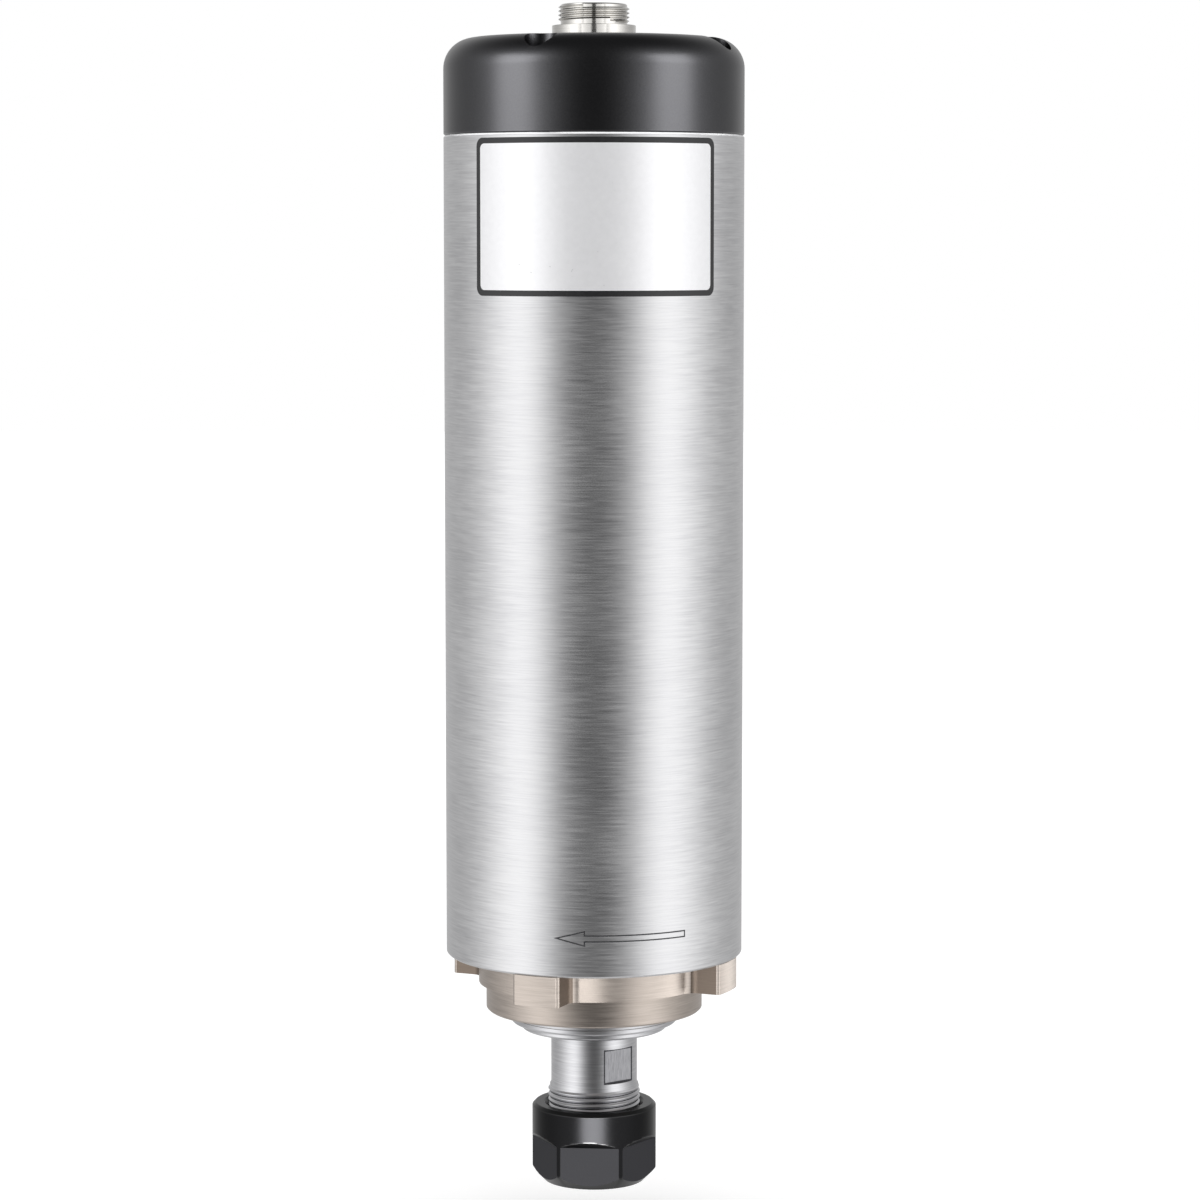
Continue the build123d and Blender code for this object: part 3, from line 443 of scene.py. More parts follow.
def surface(
    name, light, dark, metallic, roughness, grain, bump, spread=0.08, edge_rub_and_glint=0.0, rub_and_glint_colour="#b8b8b8",
    specular=0.5,
):
    """A material whose grain, tone, roughness and edge colour come from patterns of real sizes.

    grain is the size in millimetres of one mark along x, y and z, and bump is its depth. The roughness
    swings by spread to both sides. The two edge settings give how much of a lighter colour an edge
    shows: rubbed metal, and on the nut also a painted highlight on the rim chamfer.
    """
    material = bpy.data.materials.new(name)
    material.use_nodes = True
    tree = material.node_tree
    tree.nodes.clear()
    place = add_node(tree, "TexCoord").outputs["Object"]
    frequency = [1 / (size * MM) for size in grain]
    stretched = add_node(tree, "Mapping", {"Vector": place, "Scale": frequency}).outputs["Vector"]
    marks = add_node(
        tree, "TexNoise", {"Vector": stretched, "Scale": 1.0, "Detail": 4.0, "Roughness": 0.62}
    ).outputs["Fac"]
    cloud = add_node(
        tree, "TexNoise", {"Vector": place, "Scale": 45.0, "Detail": 3.0, "Roughness": 0.5}
    ).outputs["Fac"]
    both = add_node(tree, "Mix", {"Factor": 0.3, NUMBER_A: marks, NUMBER_B: cloud}).outputs["Result"]
    share = add_node(
        tree, "MapRange", {"Value": both, "From Min": 0.3, "From Max": 0.7}
    ).outputs["Result"]
    tone = add_node(
        tree, "Mix", {"Factor": share, COLOUR_A: linear(dark), COLOUR_B: linear(light)},
        data_type="RGBA",
    ).outputs[COLOUR_RESULT]
    rough = add_node(
        tree, "MapRange", {"Value": share, "To Min": roughness - spread, "To Max": roughness + spread}
    ).outputs["Result"]
    # A lighter colour at the edges: rubbed metal, and on the nut also a painted highlight on the rim
    # chamfer
    if edge_rub_and_glint:
        pointiness = add_node(tree, "NewGeometry").outputs["Pointiness"]
        edge = add_node(
            tree, "MapRange", {"Value": pointiness, "From Min": 0.515, "From Max": 0.56, "To Max": edge_rub_and_glint}
        ).outputs["Result"]
        patchy = add_node(tree, "Math", {0: edge, 1: cloud}, operation="MULTIPLY").outputs[0]
        tone = add_node(
            tree, "Mix", {"Factor": patchy, COLOUR_A: tone, COLOUR_B: linear(rub_and_glint_colour)}, data_type="RGBA"
        ).outputs[COLOUR_RESULT]
    relief = add_node(
        tree, "Bump", {"Height": marks, "Strength": 1.0, "Distance": bump * MM}
    ).outputs["Normal"]
    principled = add_node(
        tree, "BsdfPrincipled",
        {"Base Color": tone, "Metallic": metallic, "Roughness": rough, "Normal": relief,
         "Specular IOR Level": specular},
    )
    add_node(tree, "OutputMaterial", {"Surface": principled.outputs["BSDF"]})
    return material


AROUND = (10, 10)  # millimetres along x and y of a mark that runs round the shaft

# 304 stainless steel, brushed round the tube: long fine level scratches that catch the light
shell_steel = surface("brushed_stainless_steel", "#dbdbdc", "#b9b9bb", 1, 0.38, (*AROUND, 0.4), 0.004)
# Aluminium, black anodised and satin: deep black with a soft sheen and hardly any grain
cap_black = surface(
    "black_anodised_aluminium", "#4d4d4f", "#444446", 1, 0.3, (0.4, 0.4, 0.4), 0.0005, 0.025, edge_rub_and_glint=0.08
)
# Alloy with a warm nickel finish, turned: pale champagne with fine level lines
flange_nickel = surface("warm_nickel_finish", "#c6bcb4", "#a0978f", 1, 0.4, (*AROUND, 0.35), 0.003)
# The same alloy on the milled sides of the ears, with painted shade: darker and browner than the turned
# faces
shaded_ear_side = surface("nickel_side_painted_shade", "#7f7369", "#6c6158", 1, 0.4, (*AROUND, 0.35), 0.003)
# Steel, black oxide: nearly black and dull; its edges are rubbed grey, which on the rim chamfer is also
# a painted highlight
nut_black = surface(
    "black_oxide_steel", "#1d1d1e", "#171718", 1, 0.33, (0.3, 0.3, 0.3), 0.001, 0.04, edge_rub_and_glint=0.5
)
# The same nut's milled flats: black oxide on a rougher face, dull and a little greyer
nut_flats = surface(
    "black_oxide_milled_flat", "#222224", "#1c1c1e", 0, 0.65, (0.3, 0.3, 0.3), 0.003, 0.05, specular=0.05
)
# Alloy steel, fine turned and ground: bright with hair lines round the shaft
turned_steel = surface("fine_turned_steel", "#d6d6d8", "#aaaaad", 1, 0.33, (*AROUND, 0.3), 0.002, 0.06)
# The same steel, milled: duller and darker, with marks across
milled_steel = surface("milled_steel", "#a8a8ab", "#7c7c7f", 1, 0.42, (0.4, 0.4, 2.5), 0.003)
# The same steel, dark grey, in the roots of a thread: oil and cutting marks, with painted shade there;
# also a painted shadow round the spanner flats
oil_and_painted_shade = surface("oil_and_painted_shade_steel", "#4c4c4f", "#353538", 1, 0.4, (*AROUND, 0.3), 0.002)
# Bearing steel, ground and polished: smooth and mirror like
bearing_steel = surface("ground_bearing_steel", "#d4d4d6", "#c4c4c7", 1, 0.14, (8, 8, 0.3), 0.0005, 0.04)
# Spring steel, hardened and oiled: blue grey and satin
spring_steel = surface("oiled_spring_steel", "#8b8d93", "#6f7177", 1, 0.35, (2, 2, 2), 0.002)
# Electrical steel sheets, stacked: dark grey with a line at each sheet
stack_steel = surface("stacked_electrical_steel", "#85868a", "#55565a", 0.9, 0.45, (80, 80, 0.5), 0.02)
# Copper wire, enamelled and varnished: glossy red brown with strands along the slots
copper = surface("enamelled_copper_wire", "#b5673a", "#7c3f20", 0.7, 0.3, (0.8, 0.8, 12), 0.05)
# Aluminium, as cast: pale grey, dull and a little pitted
cast_aluminium = surface("cast_aluminium", "#c9c9cb", "#a3a3a6", 1, 0.5, (0.8, 0.8, 0.8), 0.03)
# Aluminium, extruded: clean light grey with die lines along its length
body_aluminium = surface("extruded_aluminium", "#d6d6d8", "#b9b9bc", 1, 0.4, (0.6, 0.6, 40), 0.01)
# Nylon with glass fibre, moulded: black and slightly rough
fan_nylon = surface("moulded_glass_filled_nylon", "#202022", "#141416", 0, 0.5, (0.5, 0.5, 0.5), 0.01)
# Brass, nickel plated: bright and slightly warm, with turning lines
connector_nickel = surface(
    "nickel_plated_brass", "#dcdad7", "#c4c2be", 1, 0.14, (*AROUND, 0.2), 0.0005, 0.04
)
# Polyamide, moulded: black and satin
connector_black = surface("moulded_polyamide", "#1d1d1f", "#131315", 0, 0.4, (0.3, 0.3, 0.3), 0.004)
# Brass, gold flashed: bright yellow
contact_brass = surface("gold_flashed_brass", "#e8c879", "#cfa857", 1, 0.2, (1, 1, 1), 0.001)
# Nitrile rubber, moulded: black and matt
seal_rubber = surface("nitrile_rubber", "#1b1b1b", "#121212", 0, 0.7, (0.3, 0.3, 0.3), 0.01)
# Silicone sleeve over the leads: dark grey with the braid's ribs
lead_sleeve = surface("silicone_sleeve", "#3a3a3c", "#242426", 0, 0.6, (0.7, 0.7, 0.7), 0.03)
# Alloy steel screws, black oxide: nearly black with a satin sheen
screw_black = surface("black_oxide_screw", "#48484a", "#333335", 0.8, 0.35, (1, 1, 1), 0.002, edge_rub_and_glint=0.4)
# Steel, zinc plated: cool and bright
screw_zinc = surface("zinc_plated_steel", "#cfd2d6", "#b4b8bd", 1, 0.28, (1, 1, 1), 0.002)
# Polyester film with a pearl white print, satin: off white with a soft metal sheen
label_film = surface(
    "printed_polyester_film", "#f5f5f7", "#efeff1", 0.3, 0.3, (1.5, 1.5, 1.5), 0.0003, 0.03
)
# The same film under black ink
label_ink = surface("black_label_ink", "#262628", "#1c1c1e", 0, 0.38, (0.6, 0.6, 0.6), 0.001)
# Screen printing ink on steel: dark grey, thin and matt
arrow_ink = surface("screen_printing_ink", "#3c3c3f", "#303033", 0, 0.5, (0.4, 0.4, 0.4), 0.001)

MATERIALS = {
    "shell_steel": shell_steel, "body_aluminium": body_aluminium, "flange_nickel": flange_nickel,
    "cap_black": cap_black, "nut_black": nut_black, "turned_steel": turned_steel,
    "bearing_steel": bearing_steel, "spring_steel": spring_steel, "stack_steel": stack_steel,
    "copper": copper, "cast_aluminium": cast_aluminium, "fan_nylon": fan_nylon,
    "connector_nickel": connector_nickel, "connector_black": connector_black,
    "contact_brass": contact_brass, "seal_rubber": seal_rubber, "lead_sleeve": lead_sleeve,
    "screw_black": screw_black, "screw_zinc": screw_zinc,
}


def finish_carried_nodes():
    """Every CAD node gets the material of its slot, the hidden ones too."""
    for part in frame["record"]["subparts"]:
        node = frame["nodes"][part["node"]]
        node.data.materials.clear()
        node.data.materials.append(MATERIALS[part["material_slot"]])


# Pieces


def brushed_shell():
    """The steel tube that the bracket clamps, with a small chamfer at both ends."""
    bore, chamfer = SHELL_RADIUS - 2.0, 0.5
    mesh = turned(
        [
            (bore, SHELL_LOW),
            (SKIN_RADIUS - chamfer, SHELL_LOW),
            (SKIN_RADIUS, SHELL_LOW + chamfer),
            (SKIN_RADIUS, SHELL_HIGH - chamfer),
            (SKIN_RADIUS - chamfer, SHELL_HIGH),
            (bore, SHELL_HIGH),
        ],
        steps=192,
    )
    round_edges(mesh, 0.12)
    return piece("brushed_shell", mesh, "housing", shell_steel, ["outer_shell"])


def domed_cap():
    """The rear cap, with four pillars for its screws, their counterbores and slots for the air."""
    edge_radius, wall, roof = 8.0, 3.0, 3.5
    inner_edge_radius = 5.0
    spigot_radius, spigot_wall = 37.95, 1.9
    connector_hole = 9.55
    pillar_radius, screw_hole, counterbore, counterbore_depth = 5.2, 2.2, 4.25, 14
    slot_count, slot_start, slot_end, half_slot = 12, 17.8, 25.2, 1.8
    seam = SHELL_HIGH
    inner = SKIN_RADIUS - wall
    roof_low = CAP_HIGH - roof
    mesh = turned(
        [
            (spigot_radius - spigot_wall, CAP_LOW),
            (spigot_radius, CAP_LOW),
            (spigot_radius, seam),
            (SKIN_RADIUS - 0.4, seam),
            (SKIN_RADIUS, seam + 0.4),
            *rings(SKIN_RADIUS, seam + 0.7, CAP_HIGH - edge_radius - 0.5, 1.2),
            *arc((SKIN_RADIUS - edge_radius, CAP_HIGH - edge_radius), edge_radius, 0, 90, 16),
            (connector_hole, CAP_HIGH),
            (connector_hole, roof_low),
            *arc((inner - inner_edge_radius, roof_low - inner_edge_radius), inner_edge_radius, 90, 0, 6),
            (inner, seam + 1),
            (spigot_radius - spigot_wall, seam),
        ],
        steps=192,
    )
    pillar = plug(pillar_radius, CAP_LOW, roof_low + 0.3, 48)
    pillars = joined(*repeated(pillar, EAR_COUNT, x=ANCHOR_CIRCLE, start=EAR_ANGLE))
    inside_the_shell = plug(spigot_radius, CAP_LOW - 1, CAP_HIGH + 1, 96)
    mesh = combined(mesh, combined(pillars, inside_the_shell, "INTERSECT"), "UNION")
    hole = stepped_hole(
        CAP_LOW - 1, screw_hole, CAP_HIGH - counterbore_depth, counterbore, CAP_HIGH + 1, 64
    )
    holes = repeated(hole, EAR_COUNT, x=ANCHOR_CIRCLE, start=EAR_ANGLE)
    outline = arc((slot_end, 0), half_slot, -90, 90, 10) + arc((slot_start, 0), half_slot, 90, 270, 10)
    slots = repeated(extruded(outline, roof_low - 1, CAP_HIGH + 1), slot_count)
    mesh = combined(mesh, joined(*holes, *slots))
    round_edges(mesh, 0.2, 2, 35)
    return piece("domed_cap", mesh, "housing", cap_black, ["rear_cap"])


def threaded_connector():
    """The connector's shell, with its collar, its key and its coupling thread."""
    bore, neck = 7.7, 9.5
    collar_radius, collar_top = 11.1, CONNECTOR_HIGH - 5.6
    root, crest, pitch = 8.8, 9.43, 1.08
    key_low, key_high = 246.0, CONNECTOR_HIGH - 1.1
    key_width, key_thickness, key_distance = 1.6, 1.2, 7.4
    mesh = turned(
        [
            (bore, CONNECTOR_LOW),
            (neck, CONNECTOR_LOW),
            (neck, GASKET_HIGH),
            (collar_radius, GASKET_HIGH),
            (collar_radius, collar_top),
            (root, collar_top),
            (root, CONNECTOR_HIGH - 0.3),
            (root - 0.3, CONNECTOR_HIGH),
            (bore, CONNECTOR_HIGH),
        ],
        steps=128,
    )
    round_edges(mesh, 0.15)
    key_height = key_high - key_low
    key = box(key_width, key_thickness, key_height)
    moved(key, y=key_distance, z=key_low + key_height / 2)
    round_edges(key, 0.15)
    helix = ridge(root, crest, pitch, collar_top + 0.35, CONNECTOR_HIGH, start=-60)
    return piece(
        "threaded_connector", joined(mesh, key, helix), "housing", connector_nickel,
        ["connector_shell"],
    )


def flange_outline():
    """The outline of the flange's ring with its ears, each ear with its hollow corners."""
    ring, reach, half, fillet = 31.2, 39.5, 6.6, 3.5
    fillet_x = math.sqrt((ring + fillet) ** 2 - (half + fillet) ** 2)
    lean = math.degrees(math.atan2(half + fillet, fillet_x))
    end = math.degrees(math.asin(half / reach))
    ear = arc((fillet_x, -half - fillet), fillet, 180 - lean, 90, 8)
    ear += arc((0, 0), reach, -end, end, 12)
    ear += arc((fillet_x, half + fillet), fillet, 270, 180 + lean, 8)
    ear += arc((0, 0), ring, lean, 360 / EAR_COUNT - lean, 20)[1:-1]
    outline = []
    for k in range(EAR_COUNT):
        turn = EAR_ANGLE + 360 / EAR_COUNT * k
        outline += [polar(math.hypot(x, y), math.degrees(math.atan2(y, x)) + turn) for x, y in ear]
    return outline


def eared_flange():
    """The front flange: a ring with four ears, its spigot in the shell, its bore and its screw holes."""
    spigot_bore, spigot_radius, seat_radius = 20.6, 30.45, 23.55
    seat_top, bore_top = 15.9, 21
    head_radius, head_depth, screw_hole = 4, 4.6, 2.2
    mesh = extruded(flange_outline(), FLANGE_LOW, 0)
    upright = [e for e in mesh.edges if abs(e.verts[0].co.z - e.verts[1].co.z) > MM]
    ear_corners = [e for e in upright if e.calc_face_angle() > math.radians(50)]
    bmesh.ops.bevel(
        mesh, geom=ear_corners, offset=0.8 * MM, offset_type="OFFSET", segments=4, profile=0.5,
        affect="EDGES", clamp_overlap=True, material=-1,
    )
    spigot = turned(
        [
            (spigot_bore, -1),
            (spigot_radius, -1),
            (spigot_radius, FLANGE_HIGH),
            (spigot_bore, FLANGE_HIGH),
        ],
        96,
    )
    mesh = combined(mesh, spigot, "UNION")
    below = FLANGE_LOW - 1
    bore = stepped_hole(below, seat_radius, seat_top, spigot_bore, bore_top, 96)
    hole = stepped_hole(below, head_radius, FLANGE_LOW + head_depth, screw_hole, 1, 40)
    for tool in (bore, *repeated(hole, EAR_COUNT, x=ANCHOR_CIRCLE, start=EAR_ANGLE)):
        mesh = combined(mesh, tool)
    round_edges(mesh, 0.3, 2, 35)
    flange = piece("eared_flange", mesh, "housing", flange_nickel, ["front_flange"])
    # Painted shade: the ears' sides and hollow corners, which don't face outwards, take the darker
    # colour
    flange.data.materials.append(shaded_ear_side)
    largest_hole_face = 3.2 * MM * MM
    for face in flange.data.polygons:
        outwards = face.center.xy.normalized().dot(face.normal.xy)
        upright = abs(face.normal.z) < 0.1
        on_an_ear = face.center.xy.length > 31 * MM and face.area > largest_hole_face
        if upright and on_an_ear and outwards < 0.8:
            face.material_index = SECOND_SLOT
    return flange


def cover_ring():
    """The bearing cover under the flange, with its six counterbored screw holes."""
    bore, recess, radius, chamfer, floor = 16.2, 20.2, 29.2, 0.5, 3
    head_radius, head_depth, screw_hole = 2.8, 3.4, 1.65
    mesh = turned(
        [
            (bore, COVER_LOW),
            (radius - chamfer, COVER_LOW),
            (radius, COVER_LOW + chamfer),
            (radius, COVER_HIGH),
            (recess, COVER_HIGH),
            (recess, COVER_LOW + floor),
            (bore, COVER_LOW + floor),
        ],
    )
    hole = stepped_hole(
        COVER_LOW - 1, head_radius, COVER_LOW + head_depth, screw_hole, COVER_HIGH + 1, 40
    )
    mesh = combined(mesh, joined(*repeated(hole, COVER_SCREW_COUNT, x=COVER_SCREW_CIRCLE)))
    round_edges(mesh, 0.15, 2, 35)
    piece("cover_ring", mesh, "housing", flange_nickel, ["bearing_cover"])


def labyrinth_cap():
    """The dust cap that turns with the shaft: two steps, a groove in each, and a hub."""
    bore, hub, lower, rim, chamfer = 12.5, 15.9, 19.8, 22.5, 0.5
    step = DUST_CAP_LOW + 1.8
    rim_top = DUST_CAP_LOW + 5.1
    groove = 0.35
    rim_groove = step + 1.5
    mesh = turned(
        [
            (bore, DUST_CAP_LOW),
            (lower - chamfer, DUST_CAP_LOW),
            (lower, DUST_CAP_LOW + chamfer),
            (lower, step - groove),
            (lower - 0.4, step - groove),
            (lower - 0.4, step),
            (rim - chamfer, step),
            (rim, step + chamfer),
            (rim, rim_groove),
            (rim - 0.3, rim_groove),
            (rim - 0.3, rim_groove + groove),
            (rim, rim_groove + groove),
            (rim, rim_top),
            (hub, rim_top),
            (hub, DUST_CAP_HIGH),
            (bore, DUST_CAP_HIGH),
        ],
    )
    round_edges(mesh, 0.1)
    return piece("labyrinth_cap", mesh, "spindle", turned_steel, ["dust_cap"])


def nose_shaft():
    """The shaft, with the collet's socket, the nose thread and two flats for a spanner."""
    radius, core, crest, pitch = 11.65, 12.0, 12.45, 1.5
    thread_top, run_out_low = -36.5, -37.8
    mouth, socket_top, relief, relief_length = 10.28, -30.6, 6, 12
    throat = mouth - (socket_top - SHAFT_LOW) * COLLET_TAPER
    front_seat, front_seat_top = 12.45, 15.9
    collar, collar_top = 15.5, 37.9
    rotor_seat, rotor_seat_top = 14, 172
    rear_collar, rear_collar_top = 10, 194
    rear_seat, rear_seat_top = 7.45, 217
    mesh = turned(
        [
            (0, socket_top + relief_length),
            (relief, socket_top + relief_length),
            (relief, socket_top),
            (throat, socket_top),
            (mouth, SHAFT_LOW),
            (core - 0.8, SHAFT_LOW),
            (core, SHAFT_LOW + 0.8),
            (core, run_out_low),
            (core, thread_top),
            (radius, thread_top + 0.6),
            (radius, DUST_CAP_LOW),
            (front_seat, DUST_CAP_LOW),
            (front_seat, front_seat_top),
            (collar, front_seat_top),
            (collar, collar_top),
            (rotor_seat, collar_top),
            (rotor_seat, rotor_seat_top),
            (rear_collar, rotor_seat_top),
            (rear_collar, rear_collar_top),
            (rear_seat, rear_collar_top),
            (rear_seat, rear_seat_top),
            (6, rear_seat_top),
            (6, SHAFT_HIGH),
            (0, SHAFT_HIGH),
        ],
        steps=128,
    )
    flat_distance, flat_middle, flat_height, flat_angle = 10.6, -29.95, 9.5, -52.5
    smallest_flat, painted_shadow_width = 40, 0.5
    cutter_depth, cutter_length = 8, 40
    cutter = box(cutter_depth, cutter_length, flat_height)
    outwards = flat_distance + cutter_depth / 2
    cutters = repeated(cutter, 2, x=outwards, z=flat_middle, start=flat_angle)
    mesh = combined(mesh, joined(*cutters))
    round_edges(mesh, 0.1, 2, 35)
    mesh.normal_update()
    # A thin rim round each spanner flat is painted dark: a painted shadow along the flat's walls
    floors = []
    for face in mesh.faces:
        middle = face.calc_center_median()
        if face.calc_area() > smallest_flat * MM * MM and abs(middle.z / MM - flat_middle) < 1:
            floors.append(face)
    painted_shadow_rims = bmesh.ops.inset_region(
        mesh, faces=floors, thickness=painted_shadow_width * MM, use_boundary=True, use_even_offset=True
    )
    for face in painted_shadow_rims["faces"]:
        face.material_index = THIRD_SLOT
    helix = ridge(core, crest, pitch, SHAFT_LOW + 0.9, thread_top + 0.2, start=200)
    shaft = piece(
        "nose_shaft", joined(mesh, helix), "spindle", turned_steel, ["shaft"],
        milled=(milled_steel, smallest_flat),
    )
    shaft.data.materials.append(oil_and_painted_shade)
    # The thread's core between the ridges is painted dark: oil, with painted shade in the roots
    for face in shaft.data.polygons:
        across, height = face.center.xy.length / MM, face.center.z / MM
        on_the_core = abs(across - core) < 0.06 and abs(face.normal.z) < 0.1
        if on_the_core and SHAFT_LOW + 1 < height < run_out_low:
            face.material_index = THIRD_SLOT


def clamp_nut():
    """The collet nut: round above, six flats with slanted shoulders below, and a lip for the collet."""
    radius, flat_radius, bore, mouth = 16.8, 14.85, 12.6, 8.9
    lip, groove = 9.3, 10.65
    lip_top, lip_low, groove_low = NUT_LOW + 6.2, NUT_LOW + 4.6, NUT_LOW + 3.0
    base_chamfer, rim_chamfer = 3.3, 0.9
    flat_top = NUT_LOW + 11.7
    mesh = turned(
        [
            (mouth, NUT_LOW),
            (radius - base_chamfer, NUT_LOW),
            *rings(radius, NUT_LOW + base_chamfer, NUT_HIGH - rim_chamfer),
            (radius - rim_chamfer, NUT_HIGH),
            (bore + 1, NUT_HIGH),
            (bore, NUT_HIGH - 1),
            (bore, lip_top),
            (lip, lip_top),
            (lip, lip_low),
            (groove, lip_low),
            (groove, groove_low),
        ],
        steps=180,
    )
    round_edges(mesh, 0.15)
    outside, shoulder = 2 * radius - flat_radius, 1.8
    first_flat, smallest_flat = -94.7, 50
    side_of_cutter = [
        (flat_radius, NUT_LOW - 3),
        (flat_radius, flat_top),
        (radius, flat_top + shoulder),
        (outside, flat_top + 2 * shoulder),
        (outside, NUT_LOW - 3),
    ]
    cutter = thickened(upright_face(side_of_cutter, y=-radius), y=2 * radius)
    for tool in repeated(cutter, 6, start=first_flat):
        mesh = combined(mesh, tool)
    return piece(
        "clamp_nut", mesh, "nut", nut_black, ["collet_nut"],
        milled=(nut_flats, smallest_flat),
    )


def spring_collet():
    """The collet: a front cone, a groove, a long rear cone, and slits from both ends in turn."""
    bore, relief, bore_length = 3, 4.2, 22
    groove, band, cone = 9, 10.5, 10.2
    cone_top = COLLET_LOW + (band - groove) / math.tan(math.radians(30))
    band_top = cone_top + 1.3
    groove_top = band_top + 2.2
    back = cone - (COLLET_HIGH - groove_top) * COLLET_TAPER
    mesh = turned(
        [
            (bore, COLLET_LOW),
            (groove, COLLET_LOW),
            (band, cone_top),
            (band, band_top),
            (groove, band_top),
            (groove, groove_top),
            (cone, groove_top),
            (back, COLLET_HIGH),
            (relief, COLLET_HIGH),
            (relief, COLLET_LOW + bore_length),
            (bore, COLLET_LOW + bore_length),
        ],
        steps=96,
    )
    slit_width, slit_length, slit_depth, slit_distance = 0.8, 26.5, 12, 7
    for low, start in ((COLLET_LOW - 1, 0), (COLLET_LOW + 6, 30)):
        slit = box(slit_depth, slit_width, slit_length)
        slits = repeated(slit, 6, x=slit_distance, z=low + slit_length / 2, start=start)
        mesh = combined(mesh, joined(*slits))
    round_edges(mesh, 0.12, 1, 35)
    piece("spring_collet", mesh, "collet", turned_steel, ["collet"])


def wrapped(mesh, radius):
    """Bends a flat sheet, drawn as (arc length, outwards, height), round the shell's front.

    That mirrors it, so its faces are turned round afterwards.
    """
    for vert in mesh.verts:
        angle = vert.co.x / (radius * MM)
        depth = radius * MM + vert.co.y
        vert.co.x, vert.co.y = depth * math.sin(angle), -depth * math.cos(angle)
    bmesh.ops.reverse_faces(mesh, faces=mesh.faces)
    return mesh


def sheet_of(mesh, left, right, thickness):
    """A flat face made a sheet, and cut into upright strips so that it can bend."""
    strip = 1.2
    at = left + strip
    while at < right:
        whole = mesh.verts[:] + mesh.edges[:] + mesh.faces[:]
        bmesh.ops.bisect_plane(mesh, geom=whole, plane_co=(at * MM, 0, 0), plane_no=(1, 0, 0))
        at += strip
    return thickened(mesh, y=thickness)


def rounded_box(left, right, low, high, corner):
    """The outline of a rectangle with round corners."""
    return (
        arc((right - corner, low + corner), corner, -90, 0)
        + arc((right - corner, high - corner), corner, 0, 90)
        + arc((left + corner, high - corner), corner, 90, 180)
        + arc((left + corner, low + corner), corner, 180, 270)
    )


def label_plate():
    """The label by the cap, left bare: an ink border with a white field in it."""
    left, right = (math.radians(angle) * SKIN_RADIUS for angle in (-49.4, 51.2))
    low, high, border = 177.3, 218.0, 1.5
    layers = (
        ("label_border", 0, 2.2, LABEL_THICKNESS - INK_THICKNESS, label_ink),
        ("label_field", border, 1.4, LABEL_THICKNESS, label_film),
    )
    for name, inset, corner, thickness, material in layers:
        start, end = left + inset, right - inset
        outline = rounded_box(start, end, low + inset, high - inset, corner)
        sheet = sheet_of(upright_face(outline), start, end, thickness)
        flat_piece(name, wrapped(sheet, SKIN_RADIUS), "housing", material)


def turning_arrow():
    """The outline of the arrow that shows which way the shaft turns."""
    tip, head, tail = (math.radians(angle) * SKIN_RADIUS for angle in (-15.3, -3.3, 36.8))
    middle, half_head, half_shaft, line = 10.6, 2.1, 0.95, 0.35
    outline = [
        (tip, middle),
        (head, middle - half_head),
        (head, middle - half_shaft),
        (tail, middle - half_shaft),
        (tail, middle + half_shaft),
        (head, middle + half_shaft),
        (head, middle + half_head),
    ]
    mesh = upright_face(outline)
    mesh.normal_update()
    inside = mesh.faces[:]
    bmesh.ops.inset_region(
        mesh, faces=inside, thickness=line * MM, use_boundary=True, use_even_offset=True
    )
    bmesh.ops.delete(mesh, geom=inside, context="FACES_ONLY")
    sheet = sheet_of(mesh, tip, tail, INK_THICKNESS)
    flat_piece("turning_arrow", wrapped(sheet, SKIN_RADIUS), "housing", arrow_ink)


# Stage


